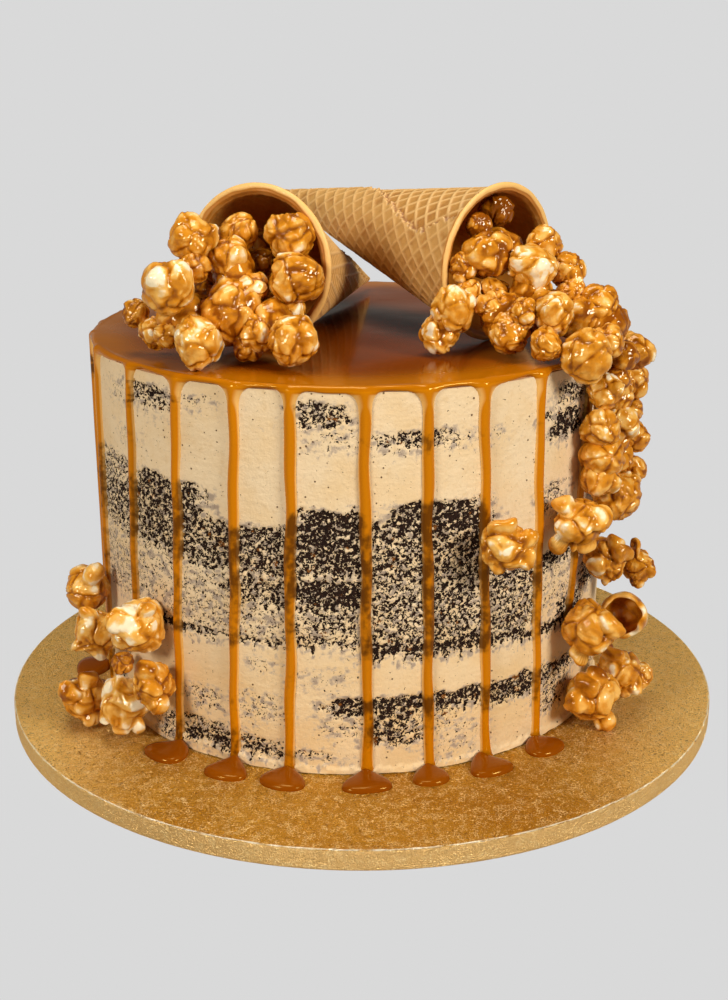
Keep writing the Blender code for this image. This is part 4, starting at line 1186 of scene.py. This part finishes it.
# Single kernels: name, bearing, height, diameter, lift, how much thicker the caramel lies, and
# the knobs as seen from the front: how far right and up in kernel radii, and their own radius
LOOSE_KERNELS = (
    ("popcorn_front", 28.3, 93.2, 19.5, 1.0, 0.0,
     ((0.92, 0.25, 0.38), (0.80, -0.56, 0.36), (-0.25, 0.86, 0.32), (-0.33, -0.90, 0.24))),
    ("popcorn_side_1", 47.8, 94, 19.5, -0.6, 0.0,
     ((-1.02, -1.0, 0.30), (0.37, -1.16, 0.30), (-0.2, -1.1, 0.24), (0.8, 0.0, 0.40),
      (-0.7, 0.8, 0.33))),
    ("popcorn_side_2", 60.2, 72.5, 18.5, -0.2, 0.0,
     ((0.30, 0.85, 0.34), (-0.1, -1.0, 0.32), (-0.55, -0.3, 0.42), (0.60, 0.30, 0.42))),
    ("popcorn_side_3", 67.5, 66, 14.5, 9.4, 0.1,
     ((-0.2, 1.25, 0.35), (0.75, -0.33, 0.35), (0.0, -1.05, 0.35))),
    ("popcorn_side_4", 52.1, 50.2, 22.3, -0.6, 0.0,
     ((-0.53, -0.98, 0.24), (-0.33, -1.25, 0.24), (0.8, 0.2, 0.42))),
    ("popcorn_side_6", 64.5, 24.5, 18.5, 5.3, -0.05,
     ((-0.5, 0.9, 0.35), (0.7, -0.7, 0.38), (0.2, -1.0, 0.28))),
    ("popcorn_side_7", 70.3, 18, 11.6, 14.2, -0.1, ()),
    ("popcorn_side_8", 55.3, 20.3, 21.5, -0.4, 0.05,
     ((-0.78, -0.10, 0.45), (0.50, -1.05, 0.42), (0.1, 1.0, 0.36), (-0.4, 0.5, 0.42))),
    ("popcorn_left_1", -66.5, 56, 19.5, 0.4, -0.05, ((0.3, 0.8, 0.4), (-0.2, -0.9, 0.3))),
    ("popcorn_left_2", -59.5, 44, 18.5, 2.4, -0.1,
     ((-0.6, -0.6, 0.35), (0.2, -0.9, 0.35), (-0.3, 0.9, 0.35))),
    ("popcorn_left_3", -44.5, 55.8, 21.5, -0.9, -0.15, ((0.5, 0.75, 0.28), (-0.7, 0.3, 0.40))),
    ("popcorn_left_4", -59.4, 18, 19, 8, -0.05,
     ((-0.5, 0.3, 0.45), (0.35, -0.80, 0.38), (0.45, 1.1, 0.28))),
    ("popcorn_left_5", -49.5, 22.3, 20.5, 0.2, -0.2,
     ((-0.15, -1.15, 0.26), (0.50, -1.05, 0.30), (-0.87, -0.6, 0.25))),
    ("popcorn_left_6", -40.2, 35.3, 18, 1.6, 0.15, ((-0.2, 0.85, 0.46), (0.26, -0.80, 0.48))),
    ("popcorn_left_7", -52.5, 35.5, 10, 2.2, 0.25, ()),
)
# One kernel burst into an open hull: bearing, height, diameter, lift, and where it opens to
HULL_PLACE = (60.6, 51.1, 17.8, 7.8)
HULL_WALL = 1.6
HULL_FACING = (-0.25, -0.93, 0.25)
HULL_LIP = 20.0         # how many degrees past its widest the hull's torn lip reaches
HULL_OUTER_POLE = -87.0     # latitudes of the rows next to the bowl's bottom, in degrees
HULL_INNER_POLE = -84.0
HULL_LIP_ROUND = 7.0        # how many degrees further the lip's round edge reaches
HULL_SEED = 417
HULL_COLUMNS = 120
CORN_CREAM = (0.90, 0.74, 0.47, 1.0)
CORN_GOLD = (0.80, 0.42, 0.085, 1.0)
CORN_AMBER = (0.60, 0.215, 0.010, 1.0)
CORN_DEEP = (0.24, 0.058, 0.0010, 1.0)
CORN_SHEEN = (1.0, 0.88, 0.62, 1.0)


def sphere_sheets(count):
    """Directions and quads of a ball wrapped in six square sheets, their borders shared."""
    steps = np.tan(np.linspace(-math.pi / 4, math.pi / 4, count + 1))
    first, second = (grid.ravel() for grid in np.meshgrid(steps, steps, indexing="ij"))
    ones = np.ones_like(first)
    sheets = []
    for sign in (1, -1):
        sheets += [np.stack((sign * ones, sign * first, second), 1),
                   np.stack((first, sign * ones, -sign * second), 1),
                   np.stack((sign * first, second, sign * ones), 1)]
    points = np.vstack(sheets)
    index = np.arange((count + 1) ** 2).reshape(count + 1, count + 1)
    corners = np.stack((index[:-1, :-1], index[1:, :-1], index[1:, 1:], index[:-1, 1:]), -1)
    quads = np.vstack([corners.reshape(-1, 4) + sheet * (count + 1) ** 2 for sheet in range(6)])
    _, kept, shared = np.unique(np.round(points * 1e6).astype(np.int64), axis=0,
                                return_index=True, return_inverse=True)
    quads = shared.ravel()[quads]
    points = points[kept]
    points = points / np.linalg.norm(points, axis=1, keepdims=True)
    a, b, c = (points[quads[:, corner]] for corner in range(3))
    inward = (np.cross(b - a, c - a) * a).sum(1) < 0
    quads[inward] = quads[inward][:, ::-1]
    return points, quads


def wave_noise(directions, size, seed, count=28):
    """Smooth noise of unit size over a ball: a sum of plane waves of about one wavelength."""
    rng = np.random.default_rng(seed)
    ways = rng.normal(size=(3, count))
    ways = ways / np.linalg.norm(ways, axis=0) * rng.uniform(0.7, 1.4, count) * math.tau / size
    return np.cos(directions @ ways + rng.uniform(0, math.tau, count)).sum(1) * math.sqrt(2 / count)


def spread_directions(count, rng, nudge):
    """Directions spread evenly over a sphere, then turned and nudged at random."""
    index = np.arange(count) + 0.5
    polar = np.arccos(1 - 2 * index / count)
    around = math.pi * (1 + math.sqrt(5)) * index + rng.uniform(0, math.tau)
    spread = np.stack((np.sin(polar) * np.cos(around), np.sin(polar) * np.sin(around),
                       np.cos(polar)), 1)
    spread += rng.normal(0.0, nudge, spread.shape)
    spread /= np.linalg.norm(spread, axis=1, keepdims=True)
    turned_frame, _ = np.linalg.qr(rng.normal(size=(3, 3)))
    return spread @ turned_frame


def lobe_reach(directions, lobes, seat, size):
    """How far each lobe reaches along each direction: to its own ball's far side."""
    cosine = np.clip(directions @ lobes.T, -1.0, 1.0)
    inside = size ** 2 - seat ** 2 * (1 - cosine ** 2)
    far_side = seat * cosine + np.sqrt(np.clip(inside, 0.0, None))
    return np.where((inside > 0) & (cosine > 0), far_side, 0.0)


def cells_around(directions, count, rng):
    """Which of some scattered seeds is nearest along each direction, and how far the border is."""
    seeds = spread_directions(count, rng, 0.3)
    angles = np.arccos(np.clip(directions @ seeds.T, -1.0, 1.0))
    two = np.partition(angles, 1, axis=1)[:, :2]
    return angles.argmin(1), (two[:, 1] - two[:, 0]) / 2


def popped_kernel(directions, seed, knobs=()):
    """Reach and coat of a popped kernel along each direction, for a radius of about one.

    Large lobes and the kernel's own knobs come first, softly joined. Creases follow the
    borders of a few wide cells, and of many small ones on the knobbly part of the kernel,
    where each small cell also stands proud by its own amount. The coat is thick in creases and
    hollows, and thin over the middles of the cells that chance picks, which stay cream.
    """
    rng = np.random.default_rng(seed)
    lobes = spread_directions(KERNEL_LOBES, rng, LOBE_NUDGE)
    seat = rng.uniform(*LOBE_SEAT, KERNEL_LOBES)
    size = rng.uniform(*LOBE_SIZE, KERNEL_LOBES)
    for right, up, knob_size in knobs:
        forward = math.sqrt(max(0.16, 1 - right ** 2 - up ** 2))
        way = np.array((right, -forward, up / math.cos(VIEW_DOWN) + forward * math.tan(VIEW_DOWN)))
        far = np.linalg.norm(way)
        lobes = np.vstack((lobes, way / far))
        seat = np.append(seat, KNOB_SEAT * max(1.0, far))
        size = np.append(size, knob_size)
    bend = np.stack([wave_noise(directions, 1.1, seed * 7 + part) for part in range(3)], 1)
    bent = directions + 0.09 * bend
    bent = bent / np.linalg.norm(bent, axis=1, keepdims=True)
    reaches = np.concatenate((lobe_reach(bent, lobes, seat, size),
                              np.full((len(bent), 1), KERNEL_BODY)), 1)
    reach = np.log(np.exp(LOBE_SHARPNESS * reaches).sum(1)) / LOBE_SHARPNESS

    wide, wide_gap = cells_around(bent, WIDE_CELLS, rng)
    small, small_gap = cells_around(bent, SMALL_CELLS, rng)
    knobbly = eased(wave_noise(directions, 1.6, seed * 7 + 4), -0.3, 0.8) * rng.uniform(0.3, 1.0)
    wide_crease = np.exp(-(wide_gap / 0.065) ** 2)
    small_crease = np.exp(-(small_gap / 0.05) ** 2) * knobbly
    proud = rng.uniform(0.0, 0.10, SMALL_CELLS)[small] * eased(small_gap, 0.0, 0.10) * knobbly
    reach = reach - WIDE_CREASE_DEPTH * wide_crease - SMALL_CREASE_DEPTH * small_crease + 0.8 * proud
    reach = reach + 0.008 * wave_noise(bent, 0.22, seed * 7 + 5, 40) - 0.025

    sparing = rng.uniform(0.3, 1.0)
    wide_bare = rng.uniform(-0.6, 0.7, WIDE_CELLS).clip(0)[wide] * eased(wide_gap, 0.0, 0.30)
    small_bare = rng.uniform(-0.8, 0.7, SMALL_CELLS).clip(0)[small] * eased(small_gap, 0.0, 0.10)
    crown = eased(reach, 0.83, 1.04) * (1 - 0.6 * eased(reach, 1.08, 1.30))
    coat = 1.02 - 0.50 * crown + 0.45 * wide_crease + 0.3 * small_crease
    coat = coat + 0.3 * eased(reach, 1.08, 1.22)
    coat = coat + 0.16 * wave_noise(directions, 0.6, seed * 7 + 6) + rng.uniform(-0.1, 0.1)
    return reach, np.clip(coat - (wide_bare + small_bare) * sparing, 0.0, 1.6)


def candied_corn():
    """Popcorn under caramel: cream where the coat is thin, gold to amber, brown in the folds."""
    corn = Finish("candied_corn")
    # The painted coat also carries painted shade: on buried kernels, on kernels in the cones' mouths
    # and inside the hull.
    coat = corn.sum("MULTIPLY_ADD", corn.noise(300.0, 4.0, 0.6), 0.9, corn.painted("coat"))
    colour = corn.mix(corn.ramp(coat, 0.60, 0.98), CORN_CREAM, CORN_GOLD)
    colour = corn.mix(corn.ramp(coat, 0.95, 1.45), colour, CORN_AMBER)
    colour = corn.mix(corn.ramp(coat, 1.40, 2.10), colour, CORN_DEEP)
    corn.feed(Base_Color=colour, Roughness=0.11, IOR=1.5, Specular_Tint=CORN_SHEEN)
    corn.bump(corn.noise(330.0), 0.40, 0.0008)
    return corn.material


def beside(bearing, level, diameter, lift):
    """Centre of a kernel stuck to the cake's side."""
    away = CAKE_RADIUS + TOUCH + diameter / 2 + lift
    turn = math.radians(bearing)
    return np.array((CAKE_X + away * math.sin(turn), CAKE_Y - away * math.cos(turn), level))


def add_popcorn(name, node, kernels, finish):
    """One piece out of kernels: each with a centre, size, extra coat, seed, grid and knobs."""
    points, quads, coats, base = [], [], [], 0
    for centre, diameter, extra, seed, grid, knobs in kernels:
        directions, faces = KERNEL_SHEETS[grid]
        reach, coat = popped_kernel(directions, seed, knobs)
        buried = grid == CORE_GRID
        rng = np.random.default_rng(seed + SQUASH_SEED)
        frame_turn, _ = np.linalg.qr(rng.normal(size=(3, 3)))
        squash = frame_turn @ np.diag(rng.uniform(*SQUASH, 3)) @ frame_turn.T
        radius = diameter / 2 * (CORE_SHRINK if buried else SWELL)
        points.append(directions * (reach * radius)[:, None] @ squash + centre)
        quads.append(faces + base)
        # Buried kernels are painted darker: painted shade in the gaps of their heap.
        coats.append(coat + extra + CORE_SHADE * buried)
        base += len(directions)
    piece = add_surface(name, np.vstack(points), np.vstack(quads))
    paint(piece, "coat", np.concatenate(coats))
    piece.data.materials.append(finish)
    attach(piece, "root")
    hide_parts(node)


def make_hull(finish):
    """A folded bowl: up its outside from the bottom pole, over a torn lip and down inside.

    A row's latitude is measured from the plane across the bowl's widest place, and the lip's
    latitude wanders as it goes round. The wall is as thick all over as it is at the lip.
    """
    facing = np.array(HULL_FACING) / np.linalg.norm(HULL_FACING)
    aside = np.cross(facing, (0.0, 0.0, 1.0))
    aside = aside / np.linalg.norm(aside)
    turn = (np.arange(HULL_COLUMNS) * math.tau / HULL_COLUMNS)[None, :]
    lip = HULL_LIP + 2.6 * round_wave(np.degrees(turn), 2, 7, HULL_SEED)
    outer_share = np.linspace(0.0, 1.0, 44)[:, None]
    over = np.linspace(0.0, math.pi, 7)[1:-1][:, None]
    inner_share = np.linspace(1.0, 0.0, 36)[:, None]
    outer_latitude = HULL_OUTER_POLE + outer_share * (lip - HULL_OUTER_POLE)
    over_latitude = lip + HULL_LIP_ROUND * np.sin(over)
    inner_latitude = HULL_INNER_POLE + inner_share * (lip - HULL_INNER_POLE)
    latitude = np.radians(np.vstack((outer_latitude, over_latitude, inner_latitude)))
    inward = np.vstack((np.zeros_like(outer_share), 0.5 - 0.5 * np.cos(over),
                        np.ones_like(inner_share)))
    spoke = aside * np.cos(turn)[..., None] + np.cross(aside, facing) * np.sin(turn)[..., None]
    ways = spoke * np.cos(latitude)[..., None] + facing * np.sin(latitude)[..., None]
    flat_ways = ways.reshape(-1, 3)
    rng = np.random.default_rng(HULL_SEED)
    _, gap = cells_around(flat_ways, WIDE_CELLS, rng)
    crease = np.exp(-(gap / 0.10) ** 2).reshape(latitude.shape)
    swell = wave_noise(flat_ways, 0.9, HULL_SEED).reshape(latitude.shape)
    reach = HULL_PLACE[2] / 2 * (0.99 + 0.02 * swell - 0.025 * crease)
    reach = reach - HULL_WALL * inward
    skin = ways * reach[..., None] + beside(*HULL_PLACE)
    ends = (skin[0].mean(0), skin[-1].mean(0))
    hull = add_surface("popcorn_side_5_hull", *closed_rings(skin, ends, True))
    coat = 0.75 + 0.3 * wave_noise(flat_ways, 0.7, HULL_SEED + 1).reshape(latitude.shape)
    # Inside the bowl the coat number rises: painted shade in its hollow. The torn lip is paler.
    coat = coat + 0.3 * crease + 0.35 * inward - 0.5 * np.exp(-((inward - 0.5) / 0.3) ** 2)
    paint(hull, "coat", np.clip(coat, 0.0, 1.4), (0.8, 1.2))
    hull.data.materials.append(finish)
    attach(hull, "root")
    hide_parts("popcorn_side_5")


def on_cake(rows, first_seed, grid):
    """Kernels of a heap on top of the cake. Those of its core have no extra coat of their own."""
    return [((x, y, ICING_TOP + height), size, sum(extra), first_seed + number, grid, ())
            for number, (x, y, height, size, *extra) in enumerate(rows)]


def on_side(rows, first_seed, grid):
    """Kernels of the run down the side."""
    return [(beside(*row), row[2], 0.0, first_seed + number, grid, ())
            for number, row in enumerate(rows)]


KERNEL_SHEETS = {grid: sphere_sheets(grid) for grid in (HEAP_GRID, LOOSE_GRID, CORE_GRID)}
corn_finish = candied_corn()
left_heap = (on_cake(LEFT_HEAP, LEFT_SEED, HEAP_GRID)
             + on_cake(LEFT_HEAP_CORE, LEFT_CORE_SEED, CORE_GRID))
add_popcorn("popcorn_left_pile", "popcorn_heap_left", left_heap, corn_finish)
right_heap = (on_cake(RIGHT_HEAP, RIGHT_SEED, HEAP_GRID)
              + on_cake(RIGHT_HEAP_CORE, RIGHT_CORE_SEED, CORE_GRID))
add_popcorn("popcorn_right_pile", "popcorn_heap_right", right_heap, corn_finish)
right_run = (on_side(CASCADE, RUN_SEED, HEAP_GRID)
             + on_side(CASCADE_CORE, RIGHT_CORE_SEED, CORE_GRID))
add_popcorn("popcorn_right_run", "popcorn_heap_right", right_run, corn_finish)
for number, (kernel_name, *place, extra_coat, knobs) in enumerate(LOOSE_KERNELS):
    kernel = (beside(*place), place[2], extra_coat, LOOSE_SEED + number, LOOSE_GRID, knobs)
    add_popcorn(kernel_name + "_candied", kernel_name, [kernel], corn_finish)
make_hull(corn_finish)
